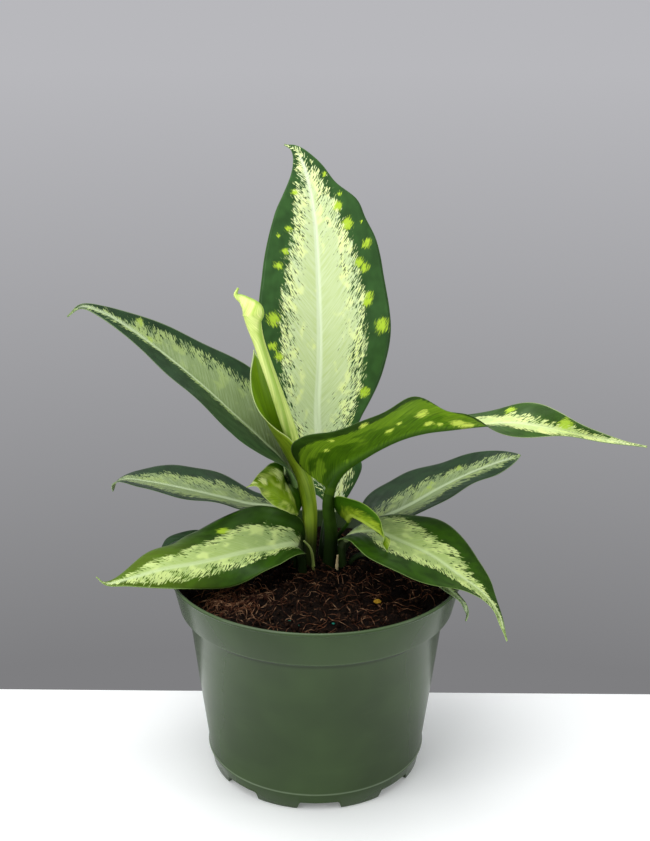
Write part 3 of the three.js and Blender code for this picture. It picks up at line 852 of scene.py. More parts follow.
    def lime(self, s: np.ndarray, length: float, dist: np.ndarray) -> np.ndarray:
        """Gives the field of the lime spots, which is positive in them.

        Args:
            s: Millimetres from the root.
            length: The leaf's length.
            dist: Millimetres from the rib, negative on its left.

        Returns:
            The field, at most 1, in the middle of a spot.
        """
        lime = np.full_like(s, -1.0)
        blade = length - self.form.stalk
        for spot in self.marking.spots:
            hand = Half.LEFT if spot.across < 0 else Half.RIGHT
            ahead = s - self.form.stalk - spot.u * blade
            beside = dist - spot.across * float(self.form.width(hand, np.array(spot.u)))
            # Spots are a quarter longer along the veins than across them
            vein = Vector((VEINS.lean, 2 * hand - 1)).normalized()
            away = np.hypot((ahead * vein.x + beside * vein.y) / 1.25,
                            ahead * vein.y - beside * vein.x) / spot.radius
            lime = np.maximum(lime, 1 - away)
        return lime

    def build(self) -> bpy.types.Object:
        """Builds the leaf in place of its solid.

        Returns:
            The piece.
        """
        shape = wrapped(4 * self.half_columns, self.rows, self.wrap)
        uv = shape.loops.layers.uv.active
        for face in shape.faces:
            middle = sum(loop[uv].uv.x for loop in face.loops) / len(face.loops)
            face.material_index = 1 if middle > 0.5 else 0
        name = self.node.replace("leaf_", "") + "_leaf"
        return settle(new_object(name, shape, self.upper, self.under), self.slot, self.node)


def settle(piece: bpy.types.Object, slot: str, *nodes: str) -> bpy.types.Object:
    """Gives a finished piece its body, and hides the solids that it stands for.

    Args:
        piece: The piece, in place.
        slot: The record's material slot; not used.
        *nodes: The solids, if any.

    Returns:
        The piece.
    """
    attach(piece, "root")
    if nodes:
        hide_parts(*nodes)
    return piece


@dataclass
class RolledLeaf:
    """The new leaf, rolled into a spike with one turn over the other.

    step is how far the flap stands out, as a share of the radius, seam the part of a turn
    over which its edge falls back, turns how often the seam goes round on its way up, and
    closing the share of the columns that lead up to the flap's edge.
    """

    node: str
    slot: str
    finish: StriateFinish
    spine: Sequence[Point]
    radii: Sequence[float]
    step: float = 0.2
    seam: float = 0.015
    turns: float = 0.6
    closing: float = 0.965
    columns: int = 64
    rows: int = 190

    def wrap(self, around: np.ndarray, share: np.ndarray) -> tuple[np.ndarray, dict]:
        """Lays the grid round the roll, from under the flap to its free edge and back.

        Args:
            around: Shares of the way around the roll.
            share: Shares of the way along it.

        Returns:
            Points in millimetres, and the fields that its finish reads.
        """
        spine = Spine(self.spine)
        centre = spine.by_knot(share)
        tangent = unit(spine.by_knot(share + 0.004) - spine.by_knot(share - 0.004))
        across = unit(np.cross(TO_CAMERA, tangent))
        front = np.cross(tangent, across)
        radius = along(self.radii, share)
        turn = np.minimum(around / self.closing, 1)
        close = np.clip((around - self.closing) / (1 - self.closing), 0, 1)
        angle = math.tau * (turn + self.seam * (close - turn) + self.turns * share)
        reach = radius * (1 - self.step * (1 - turn + close))
        points = (centre + across * (reach * np.cos(angle))[:, None]
                  + front * (reach * np.sin(angle))[:, None])
        arc = share * spine.length
        free = (1 - turn + close) * math.tau * radius
        fields = {
            "place": np.stack([arc, math.tau * radius - free, np.zeros_like(arc)], -1),
            "rim": free + np.where(close > 0.3, NO_RIM, 0.0),
            # Painted shade near the soil
            "foot": painted_soil_shade(points[:, 2]),
        }
        return points, fields

    def build(self) -> bpy.types.Object:
        """Builds the roll in place of its solid."""
        shape = wrapped(self.columns, self.rows, self.wrap)
        return settle(new_object("rolled_leaf", shape, self.finish), self.slot, self.node)


@dataclass
class Strip:
    """A short strip between the stalks: a cut stub or a dry bract, keeled along its middle.

    half is half its width at the foot and at the end, and ragged how uneven its margin is.
    """

    name: str
    node: str
    slot: str
    finish: StriateFinish
    spine: Sequence[Point]
    half: tuple[float, float]
    thickness: float
    keel: float = 0.4
    ragged: float = 0.06
    columns: int = 28
    rows: int = 50

    def wrap(self, around: np.ndarray, share: np.ndarray) -> tuple[np.ndarray, dict]:
        """Lays the grid round the strip.

        Args:
            around: Shares of the way around it.
            share: Shares of the way along it.

        Returns:
            Points in millimetres, and the fields that its finish reads.
        """
        spine = Spine(self.spine)
        centre = spine.by_knot(share)
        tangent = unit(spine.by_knot(share + 0.01) - spine.by_knot(share - 0.01))
        normal = unit(TO_CAMERA + tangent[:, 1][:, None] * tangent)
        side = np.cross(tangent, normal)
        half = self.half[0] + (self.half[1] - self.half[0]) * share
        uneven = 1 + self.ragged * np.sin(31 * share + 3 * np.cos(math.tau * around))
        x = half * np.cos(math.tau * around) * uneven
        z = self.thickness / 2 * np.sin(math.tau * around) - np.abs(x) * self.keel
        points = centre + side * x[:, None] + normal * z[:, None]
        fields = {
            "place": np.stack([share * spine.length, x * 2, np.zeros_like(x)], -1),
            "rim": half - np.abs(x) + 0.5,
        }
        return points, fields

    def build(self) -> bpy.types.Object:
        """Builds the strip in place of its solid."""
        shape = wrapped(self.columns, self.rows, self.wrap)
        return settle(new_object(self.name, shape, self.finish), self.slot, self.node)


def turned(section: Sequence[tuple[float, float]], steps: int,
           start: float = 0.0) -> bmesh.types.BMesh:
    """Turns a section once round the upright axis.

    Args:
        section: Radius and height in millimetres, from the axis and back to it.
        steps: Faces round the axis.
        start: Where the seam lies, in degrees.

    Returns:
        The closed body, in metres, about the origin.
    """
    shape = bmesh.new()
    verts = [shape.verts.new((r * MM, 0, z * MM)) for r, z in section]
    edges = [shape.edges.new(pair) for pair in zip(verts, verts[1:])]
    shape.transform(Matrix.Rotation(math.radians(start), 4, "Z"))
    bmesh.ops.spin(shape, geom=verts + edges, cent=(0, 0, 0), axis=(0, 0, 1),
                   angle=math.tau, steps=steps, use_merge=True)
    bmesh.ops.remove_doubles(shape, verts=shape.verts, dist=1e-6)
    bmesh.ops.recalc_face_normals(shape, faces=shape.faces)
    return shape


def finished_mesh(item: bpy.types.Object) -> bpy.types.Mesh:
    """Gives a new mesh of what an object shows with its modifiers or its bevel."""
    graph = bpy.context.evaluated_depsgraph_get()
    return bpy.data.meshes.new_from_object(item.evaluated_get(graph))


def cut(piece: bpy.types.Object, cutters: Sequence[bpy.types.Object]) -> None:
    """Cuts shapes out of a piece and removes them.

    Args:
        piece: The piece that is cut.
        cutters: What is cut out of it.
    """
    for cutter in cutters:
        boolean = piece.modifiers.new(cutter.name, "BOOLEAN")
        boolean.object = cutter
        boolean.operation = "DIFFERENCE"
        boolean.solver = "EXACT"
    bpy.context.view_layer.update()
    mesh = finished_mesh(piece)
    piece.modifiers.clear()
    piece.data = mesh
    for cutter in cutters:
        bpy.data.objects.remove(cutter)


@dataclass
class Pot:
    """The nursery pot: one moulded wall with a rim band, a foot line and drain notches.

    Heights are above the foot. belly is how far out and how high above the foot line the
    wall bends, ridge the foot line's size, lip half the height of the rolled lip, and
    crease the angle in degrees from which an edge stays sharp.
    """

    finish: MouldedPlastic = MouldedPlastic()
    height: float = 115.2
    lip_radius: float = 80.0
    band_top_radius: float = 79.0
    band_foot_radius: float = 75.0
    band_foot: float = 94.9
    body_top_radius: float = 70.4
    body_top: float = 93.2
    foot_line_radius: float = 60.1
    foot_line: float = 10.5
    foot_radius: float = 58.5
    wall: float = 1.5
    floor: float = 5.0
    floor_thickness: float = 1.8
    foot_ring: float = 4.6
    ridge: float = 0.9
    belly: tuple[float, float] = (5.2, 41.0)
    shoulder: float = 0.7
    lip: float = 1.1
    notches: int = 8
    notch_turn: float = 2.5
    notch_width: tuple[float, float] = (25.0, 21.0)
    notch_height: float = 4.4
    notch_reach: float = 14.0
    notch_inner: float = 12.0
    drain_radius: float = 4.5
    drain_ring: float = 46.0
    cutter_reach: float = 12.0
    crease: float = 38.0
    steps: int = 192

    def profile(self) -> list[tuple[float, float]]:
        """Works out the wall's section, with small bevels at the corners of the mould.

        Returns:
            Radius and height of its corners, once round from the axis below.
        """
        foot_in = self.foot_radius - self.foot_ring
        line, r = self.foot_line, self.ridge
        lip_low = self.height - 2 * self.lip
        middle = (self.lip_radius - 0.9, self.height - self.lip)
        rounded = [(middle[0] + 0.9 * math.cos(a), middle[1] + self.lip * math.sin(a))
                   for a in np.radians(range(-60, 181, 30))]
        inside = self.band_top_radius - self.wall
        return [
            (0, self.floor), (foot_in - 1.4, self.floor), (foot_in - 0.4, self.floor - 0.6),
            (foot_in, 0.5), (foot_in + 0.4, 0), (self.foot_radius - 0.5, 0),
            (self.foot_radius, 0.5),
            (self.foot_line_radius - 0.1, line - 1.3 * r),
            (self.foot_line_radius + 0.9 * r, line - 0.9 * r),
            (self.foot_line_radius + r, line - 0.5 * r),
            (self.foot_line_radius + 0.9 * r, line),
            (self.foot_line_radius + 0.2, line + 1.3 * r),
            (self.foot_line_radius + self.belly[0], line + self.belly[1]),
            (self.body_top_radius - 0.4, self.body_top - 1.6),
            (self.body_top_radius + 0.3, self.body_top - 0.3),
            (self.band_foot_radius - 1.2, self.band_foot - 0.5 * self.shoulder),
            (self.band_foot_radius - 0.4, self.band_foot),
            (self.band_foot_radius, self.band_foot + 0.8),
            (self.band_top_radius, lip_low),
            *rounded,
            (inside, lip_low),
            (self.band_foot_radius - self.wall, self.band_foot + self.wall),
            (self.body_top_radius - self.wall, self.body_top - self.wall),
            (self.foot_line_radius - self.wall, line),
            (self.foot_radius - self.wall - self.shoulder, self.floor + self.floor_thickness),
            (0, self.floor + self.floor_thickness),
        ]

    def notch_cutter(self, place: Matrix) -> bpy.types.Object:
        """Makes what one notch is cut with: a block that narrows upwards.

        Args:
            place: Where it goes.

        Returns:
            The cutter.
        """
        shape = bmesh.new()
        bmesh.ops.create_cube(shape, size=1.0)
        foot, top = self.notch_width
        for vert in shape.verts:
            upper = vert.co.z > 0
            vert.co.x *= (top if upper else foot) * MM
            vert.co.y *= self.notch_reach * MM
            vert.co.z = (self.notch_height if upper else -2.0) * MM
        top_edges = [e for e in shape.edges if all(vert.co.z > 0 for vert in e.verts)]
        bmesh.ops.bevel(shape, geom=top_edges, affect="EDGES", offset=0.8 * MM, segments=3,
                        profile=0.5, material=-1)
        out = self.notch_reach / 2 + self.foot_radius - self.notch_inner
        shape.transform(place @ Matrix.Translation((0, -out * MM, 0)))
        return new_object("notch_cutter", shape)

    def drain_cutter(self, place: Matrix) -> bpy.types.Object:
        """Makes what one drain hole is cut with.

        Args:
            place: Where it goes.

        Returns:
            The cutter.
        """
        shape = bmesh.new()
        bmesh.ops.create_cone(shape, cap_ends=True, segments=32, radius1=self.drain_radius * MM,
                              radius2=self.drain_radius * MM,
                              depth=self.cutter_reach * MM)
        middle = (0, -self.drain_ring * MM, self.floor * MM)
        shape.transform(place @ Matrix.Translation(middle))
        return new_object("drain_cutter", shape)

    def build(self) -> bpy.types.Object:
        """Builds the pot in place of its solid.

        Returns:
            The piece.
        """
        shape = turned(self.profile(), self.steps, -90)
        shape.transform(from_axis())
        piece = new_object("nursery_pot", shape, self.finish)
        cutters = []
        for i in range(self.notches):
            angle = math.radians(self.notch_turn) + math.tau * i / self.notches
            place = from_axis() @ Matrix.Rotation(angle, 4, "Z")
            cutters += [self.notch_cutter(place), self.drain_cutter(place)]
        cut(piece, cutters)
        piece.data.set_sharp_from_angle(angle=math.radians(self.crease))
        return settle(piece, "pot", "pot")


@dataclass
class Soil:
    """The potting mix: a plug with a lumpy top, loose crumbs and coir fibres on it.

    edge is the top's height at the wall, mound and lump how much higher its middle and its
    lumps are, rough the height of its fine crumbs, which fade out at the wall, and gap what
    stays free along the wall. crumb_radius gives the smallest radius of a crumb and how much
    is added at most. fibre_length and fibre_rise give the least and the most, and fibre_bow
    the most, as a share of the length. heap gives the middle and the spread, in x and in y,
    of the place where every fourth fibre lies. bits gives x, y and radius of the scrap of
    dry leaf and of the grains.
    """

    pot: Pot
    edge: float = 105.5
    mound: float = 5.0
    lump: float = 0.9
    rough: float = 1.3
    gap: float = 0.4
    rings: int = 84
    steps: int = 216
    crumbs: int = 1500
    crumb_radius: tuple[float, float] = (0.45, 1.6)
    fibres: int = 620
    fibre_radius: float = 0.2
    fibre_length: tuple[float, float] = (4.0, 15.0)
    fibre_bow: float = 0.35
    fibre_rise: tuple[float, float] = (0.2, 2.8)
    fibre_steps: int = 6
    heap: tuple[tuple[float, float], ...] = ((-42, 11), (-34, 8))
    bits: tuple[Point, ...] = ((32, -35, 2.4), (-9, -60, 1.1), (-13, -55, 0.8), (9, -59, 1.0))
    seed: int = 11

    def top(self, x: float, y: float) -> float:
        """Gives the height of the soil's top.

        Args:
            x: Millimetres to the right of the pot's axis.
            y: Millimetres behind it.

        Returns:
            The height in millimetres, without the fine crumbs.
        """
        share = min(1.0, math.hypot(x, y) / self.pot.band_top_radius)
        lumps = self.lump * (math.sin(0.31 * x + 1.3) * math.cos(0.27 * y - 0.4)
                             + 0.6 * math.sin(0.63 * x - 0.52 * y + 2.1)
                             + 0.5 * math.cos(0.71 * y + 0.48 * x))
        return self.edge + self.mound * (1 - share * share) + lumps * (1 - share ** 6)

    def radius_at(self, height: float) -> float:
        """Gives the plug's radius in the band.

        Args:
            height: A height in the band, in millimetres.

        Returns:
            The radius at which the plug stops short of the wall.
        """
        pot = self.pot
        low = (pot.band_foot + pot.wall, pot.band_foot_radius - pot.wall)
        high = (pot.height - 2 * pot.lip, pot.band_top_radius - pot.wall)
        share = (height - low[0]) / (high[0] - low[0])
        return low[1] + (high[1] - low[1]) * share - self.gap

    def plug(self) -> bpy.types.Object:
        """Builds the plug in place of its solid.

        Returns:
            The piece.
        """
        pot, rim = self.pot, self.radius_at(self.edge)
        side = [(rim, self.edge), (self.radius_at(pot.band_foot + 2), pot.band_foot + 2),
                (pot.body_top_radius - pot.wall - self.gap, pot.body_top - 2),
                (pot.foot_line_radius - pot.wall - self.gap, pot.foot_line + 1),
                (pot.foot_radius - 4, pot.floor + pot.floor_thickness + self.gap),
                (0, pot.floor + pot.floor_thickness + self.gap)]
        line = [(rim * i / self.rings, self.edge) for i in range(self.rings)] + side
        shape = turned(line, self.steps)
        for vert in shape.verts:
            if vert.co.z > (self.edge - 0.1) * MM:
                x, y = vert.co.x / MM, vert.co.y / MM
                away = 1 - ease(np.array(math.hypot(x, y)), rim - 3, rim)
                rough = noise.fractal(Vector((x, y, 4.0)) * 0.35, 0.9, 2.1, 5) * self.rough
                rough *= float(away)
                vert.co.z = (self.top(x, y) + rough - 0.35) * MM
        shape.transform(from_axis())
        finish = LooseMix("peat_moist", "#040202", "#0C0705", "#28190F", 1.6)
        return settle(new_object("soil_plug", shape, finish), "soil", "soil")

    def spot(self, rng: random.Random, inset: float) -> tuple[float, float]:
        """Picks a place on the top, evenly over its area.

        Args:
            rng: The source of chance.
            inset: Millimetres that stay free along the wall.

        Returns:
            Its x and y in millimetres.
        """
        reach = (self.radius_at(self.edge) - inset) * math.sqrt(rng.random())
        turn = rng.uniform(0, math.tau)
        return reach * math.cos(turn), reach * math.sin(turn)

    def loose_crumbs(self) -> bpy.types.Object:
        """Builds the loose crumbs, each a faceted lump of 20 faces.

        Returns:
            The piece.
        """
        rng = random.Random(self.seed)
        shape = bmesh.new()
        for _ in range(self.crumbs):
            least, more = self.crumb_radius
            size = least + more * rng.random() ** 2.4
            x, y = self.spot(rng, size + 0.6)
            squash = Vector((rng.uniform(0.7, 1.3), rng.uniform(0.7, 1.3), rng.uniform(0.5, 0.9)))
            turn = Euler([rng.uniform(0, math.tau) for _ in range(3)]).to_matrix().to_4x4()
            place = Matrix.Translation(Vector((x, y, self.top(x, y) + 0.25 * size)) * MM)
            made = bmesh.ops.create_icosphere(
                shape, subdivisions=1, radius=size * MM,
                matrix=place @ turn @ Matrix.Diagonal((*squash, 1)))
            for vert in made["verts"]:
                vert.co += Vector([rng.uniform(-0.2, 0.2) for _ in range(3)]) * size * MM
        shape.transform(from_axis())
        finish = LooseMix("bark_and_peat", "#070403", "#180E09", "#402A1C", 3.0)
        return settle(new_object("soil_crumbs", shape, finish, smooth=False), "soil")

    def coir(self) -> bpy.types.Object:
        """Builds the coir fibres: slim bowed threads that lie on the crumbs.

        Returns:
            The piece.
        """
        rng = random.Random(self.seed + 1)
        curve = bpy.data.curves.new("coir_fibres", "CURVE")
        curve.dimensions = "3D"
        curve.bevel_depth = self.fibre_radius * MM
        curve.bevel_resolution = 0
        curve.use_fill_caps = True
        axis = pot_axis()
        for n in range(self.fibres):
            x, y = self.spot(rng, 7)
            if n % 4 == 0:
                x, y = (rng.gauss(*span) for span in self.heap)
            length, turn = rng.uniform(*self.fibre_length), rng.uniform(0, math.tau)
            bow = rng.uniform(-self.fibre_bow, self.fibre_bow)
            rise = rng.uniform(*self.fibre_rise)
            thread = curve.splines.new("POLY")
            thread.points.add(self.fibre_steps)
            for i, point in enumerate(thread.points):
                k = i / self.fibre_steps - 0.5
                dx, dy = k * length, bow * length * (1 - 4 * k * k)
                px = x + dx * math.cos(turn) - dy * math.sin(turn)
                py = y + dx * math.sin(turn) + dy * math.cos(turn)
                reach = math.hypot(px, py)
                limit = self.radius_at(self.edge) - 1
                if reach > limit:
                    px, py = px * limit / reach, py * limit / reach
                pz = self.top(px, py) - 0.2 + rise * (1 - 4 * k * k)
                point.co = (*(Vector((px, py, pz)) * MM + axis), 1)
                point.radius = rng.uniform(0.75, 1.1) * (1 - 0.5 * abs(2 * k))
        maker = in_scene("coir_maker", curve)
        mesh = finished_mesh(maker)
        bpy.data.objects.remove(maker)
        mesh.materials.clear()
        shape = bmesh.new()
        shape.from_mesh(mesh)
        bpy.data.meshes.remove(mesh)
        bmesh.ops.recalc_face_normals(shape, faces=shape.faces)
        finish = LooseMix("coir_fibre", "#2E1810", "#5E3A26", "#A88464", 7.0, 0.7)
        return settle(new_object("coir_fibres", shape, finish), "soil")

    def scraps(self) -> bpy.types.Object:
        """Builds the few bright bits: a scrap of dry leaf and three grains of fertiliser.

        Returns:
            The piece.
        """
        shape = bmesh.new()
        for n, (x, y, size) in enumerate(self.bits):
            place = Matrix.Translation(Vector((x, y, self.top(x, y) + 1.4)) * MM)
            made = bmesh.ops.create_icosphere(
                shape, subdivisions=1, radius=size * MM,
                matrix=place @ Matrix.Rotation(0.4 + n, 4, "X")
                @ Matrix.Diagonal((1, 0.7, 0.3, 1)))
            for face in {face for vert in made["verts"] for face in vert.link_faces}:
                face.material_index = min(n, 1)
        shape.transform(from_axis())
        finishes = (LooseMix("dry_leaf_scrap", "#6A4E12", "#8A6A1C", "#A8842C", 2.0),
                    LooseMix("fertiliser_grain", "#0E4A3E", "#166052", "#2A8070", 2.0))
        return settle(new_object("soil_scraps", shape, *finishes, smooth=False), "soil")

    def build(self) -> list[bpy.types.Object]:
        """Builds the plug, the crumbs, the fibres and the scraps."""
        return [self.plug(), self.loose_crumbs(), self.coir(), self.scraps()]


@dataclass(frozen=True)
class Softbox:
    """A soft studio light: its place, aim and size in millimetres, and its strength."""

    name: str
    at: Point
    aim: Point
    size: tuple[float, float]
    power: float

    def build(self) -> None:
        """Hangs the light up and aims it."""
        lamp = bpy.data.lights.new(self.name, "AREA")
        lamp.shape = "RECTANGLE"
        lamp.size, lamp.size_y = (s * MM for s in self.size)
        lamp.energy = self.power
        holder = in_scene(self.name, lamp)
        holder.location = from_axis(*self.at).translation
        aim = from_axis(*self.aim).translation - holder.location
        holder.rotation_euler = aim.to_track_quat("-Z", "Y").to_euler()


@dataclass(frozen=True)
class GlowingLacquer(Finish):
    """Pale lacquered board, rolled and dull: it gives the eye an even bright white. It also glows
    a little: painted light that fills the shadows on it and lights the pot.
    """

    colour: str

    def surface(self, tree: bpy.types.NodeTree) -> dict:
        """Gives the shader's inputs, which need no nodes."""
        # The emission is painted light: the board glows faintly, which fills its shadows and
        # lights the pot
        return {"Base Color": linear(self.colour), "Roughness": 0.55,
                "Emission Color": linear(self.colour), "Emission Strength": 0.16}


@dataclass
class Studio:
    """The pale floor, the grey surround, the lights and the camera.

    grey is the surround's, below and above, and grey_heights the heights of a direction
    between which it turns. eye is where the camera stands, from the foot of the pot's axis.
    """

    floor_back: float = 62.0
    floor_reach: float = 2600.0
    floor_thickness: float = 20.0
    floor_gap: float = 0.05
    grey: tuple[str, str] = ("#7E7E80", "#B8B8BC")
    grey_heights: tuple[float, float] = (-0.48, -0.03)
    eye: Point = (4.0, -600.0, 393.0)
    pitch: float = 18.0
    roll: float = 0.45
    focal_pixels: float = 1200.0
    sensor: float = 36.0
    lights: tuple[Softbox, ...] = (
        Softbox("top", (-150, -60, 1300), (0, 0, 60), (1000, 900), 12.0),
        Softbox("key", (-700, -900, 800), (0, 0, 170), (700, 700), 4.5),
        Softbox("left_strip", (-560, -300, 260), (0, 0, 60), (130, 700), 1.2),
        Softbox("right_strip", (620, -260, 260), (0, 0, 60), (110, 700), 1.0),
    )

    def floor(self) -> None:
        """Lays the floor: a thin pale slab with a rounded edge."""
        shape = bmesh.new()
        reach, back, thick = (
            size * MM for size in (self.floor_reach, self.floor_back, self.floor_thickness))
        bmesh.ops.create_cube(
            shape, size=1.0, matrix=Matrix.Translation((0, back - reach / 2, -0.5 * thick))
            @ Matrix.Diagonal((2 * reach, reach, thick, 1)))
        bmesh.ops.bevel(shape, geom=shape.edges[:], affect="EDGES", offset=1.5 * MM, segments=3,
                        profile=0.5, material=-1)
        shape.transform(from_axis(z=-self.floor_gap))
        new_object("floor", shape, GlowingLacquer("lacquered_board_glowing", "#F2F4F3"))

    def surround(self) -> None:
        """Fills the surround with a grey that is lighter higher up."""
        world = bpy.data.worlds.new("surround")
        bpy.context.scene.world = world
        world.use_nodes = True
        tree = world.node_tree
        tree.nodes.clear()
        way = add_node(tree, "TexCoord", out="Generated")
        height = add_node(tree, "SeparateXYZ", {"Vector": way}, out="Z")
        low, high = self.grey_heights
        share = add_node(tree, "MapRange", {"Value": height, "From Min": low, "From Max": high})
        colour = add_node(tree, "Mix", {
            0: share, 6: linear(self.grey[0]), 7: linear(self.grey[1])}, 2, data_type="RGBA")
        background = add_node(tree, "Background", {"Color": colour})
        add_node(tree, "OutputWorld", {"Surface": background})

    def camera(self) -> None:
        """Puts the camera where the photograph was taken from."""
        lens = bpy.data.cameras.new("camera")
        lens.sensor_width = self.sensor
        lens.lens = self.focal_pixels * self.sensor / max(IMAGE)
        lens.clip_start = 0.01
        holder = in_scene("camera", lens)
        tilt = Matrix.Rotation(math.radians(90 - self.pitch), 4, "X")
        turn = Matrix.Rotation(math.radians(self.roll), 4, "Z")
        holder.matrix_world = from_axis(*self.eye) @ tilt @ turn
        bpy.context.scene.camera = holder

    def build(self) -> None:
        """Sets the studio up, with tones shown as they are."""
        bpy.context.scene.view_settings.view_transform = "Standard"
        self.floor()
        self.surround()
        self.camera()
        for light in self.lights:
            light.build()


TALL = BladeFinish("leaf_skin_tall", LeafColours(
    green="#365A2A", deep="#2C4C22", base="#B6C8A0", cream="#C6D898", bright="#E8F4A0",
    rib="#E4F0D0", lime="#B8D83A", rim="#50703C"))
SHADED = BladeFinish("leaf_skin_shaded", LeafColours(
    green="#253F22", deep="#1E341C", base="#44562B", cream="#7A8E5A", bright="#96AA62",
    rib="#B6C79E", lime="#9CB452", rim="#7C9263"), feather=14, islands=9, hair=0.3, glow=0.7)
FRONT = BladeFinish("leaf_skin_front", LeafColours(
    green="#2D4D0C", deep="#213B08", base="#7A925A", cream="#9CB366", bright="#CCDE8A",
    rib="#BCCE98", lime="#A8C830", rim="#8CA85C"), feather=13, islands=9, hair=0.3, glow=0.7,
    shine=0.14)
TWISTED = BladeFinish("leaf_skin_twisted", LeafColours(
    green="#3A5C1E", deep="#2E4C16", base="#90AE62", cream="#C2D688", bright="#D8E48E",
    rib="#D4E2AA", lime="#B4D440", rim="#B4C68A"), feather=11, islands=8)
YOUNG = BladeFinish("leaf_skin_young", LeafColours(
    green="#3A6208", deep="#2C5006", base="#5A7E08", cream="#76960C", bright="#D2E274",
    rib="#7C9C18", lime="#E8F49C", rim="#B4C878"), feather=8, soft=4, hair=0.3, glow=0.7,
    shine=0.14)
DULL_UNDER = BladeFinish("leaf_underside", LeafColours(
    green="#56723F", deep="#4A6436", base="#93A878", cream="#A2B680", bright="#AEC07E",
    rib="#9DB27C", lime="#9DB84C", rim="#93A779"), roughness=(0.46, 0.56))
FRESH_UNDER = BladeFinish("leaf_underside_fresh", LeafColours(
    green="#5C8232", deep="#4E7429", base="#9BB274", cream="#A8C07A", bright="#B4CA7C",
    rib="#A2B87C", lime="#A4C04C", rim="#A9BE7C"), roughness=(0.46, 0.56))
TWISTED_UNDER = BladeFinish("leaf_underside_backlit", LeafColours(
    green="#304C12", deep="#263E0E", base="#3A5C08", cream="#5C8610", bright="#789E1E",
    rib="#26440A", lime="#D8EC60", rim="#6C8450"), feather=8, islands=6,
    spread=10, hair=0.75, shine=0.14, roughness=(0.40, 0.50))
YOUNG_UNDER = BladeFinish("leaf_underside_young", LeafColours(
    green="#3E680C", deep="#2E5408", base="#6A8C0E", cream="#7E9C14", bright="#9CB42A",
    rib="#A4BC44", lime="#B0D044", rim="#9CB848"), feather=8, soft=4, hair=0.3,
    shine=0.14, roughness=(0.42, 0.52))
SHEATH_INSIDE = StriateFinish("leaf_sheath_inside", "#7CA010", "#648A08", "#C4D49C")
SHEATH_OUTSIDE = StriateFinish("leaf_sheath_outside", "#A0BC2C", "#6C8C14", "#C8D68C")
SPIKE = StriateFinish("rolled_leaf_skin", "#ECF89A", "#B4D058", "#94B840", roughness=0.34,
                      border=(3.2, 1.2))
STUB = StriateFinish("leaf_stub_fading", "#9CAE5A", "#66802E", "#B4C07A", roughness=0.6)
PAPERY = StriateFinish("dry_bract", "#D8CBA0", "#A88F5E", "#C8B888", roughness=0.8)


# The rolled new leaf, and the two dry strips between the stalks
SHOOTS = (
    RolledLeaf(
        node="leaf_rolled", slot="shoot", finish=SPIKE,
        spine=(
            (-4.3, 10.5, ROOT), (-4.3, 10.5, 112), (-3.4, 10.5, 131), (-3.8, 10.5, 146),
            (-6.3, 10.5, 159), (-9.8, 10.5, 171), (-13, 10.5, 183.5), (-17, 9, 197),
            (-22.5, 6.5, 214.5), (-30.5, 3, 240), (-33, 2, 250.5), (-33.5, 2, 256),
            (-38, 2, 261.5), (-42, 2, 264.5), (-40.8, 2, 268),
        ),
        radii=(1.8, 1.9, 2, 2, 2.4, 3.2, 4, 4.1, 3.6, 3.5, 4.8, 6.2, 3, 1.3, 0.6),
    ),
    Strip(
        name="leaf_stub", node="stub", slot="papery", finish=STUB,
        spine=((-1.4, 2.6, ROOT), (-1.6, 2.4, 112), (-3.4, 1.2, 124), (-7, 0.4, 129)),
        half=(1.1, 0.5), thickness=0.9,
    ),
    Strip(
        name="dry_bract", node="bract", slot="papery", finish=PAPERY,
        spine=((11.2, 4.6, ROOT), (11.2, 4.6, 112), (11.6, 4.2, 119)),
        half=(1.3, 0.5), thickness=0.8,
    ),
)


SHEATH_HALF = (10.6, 10.6, 10.6, 10.6, 10.8, 11.3, 11.8, 11.8, 11, 9, 5.5, 0)

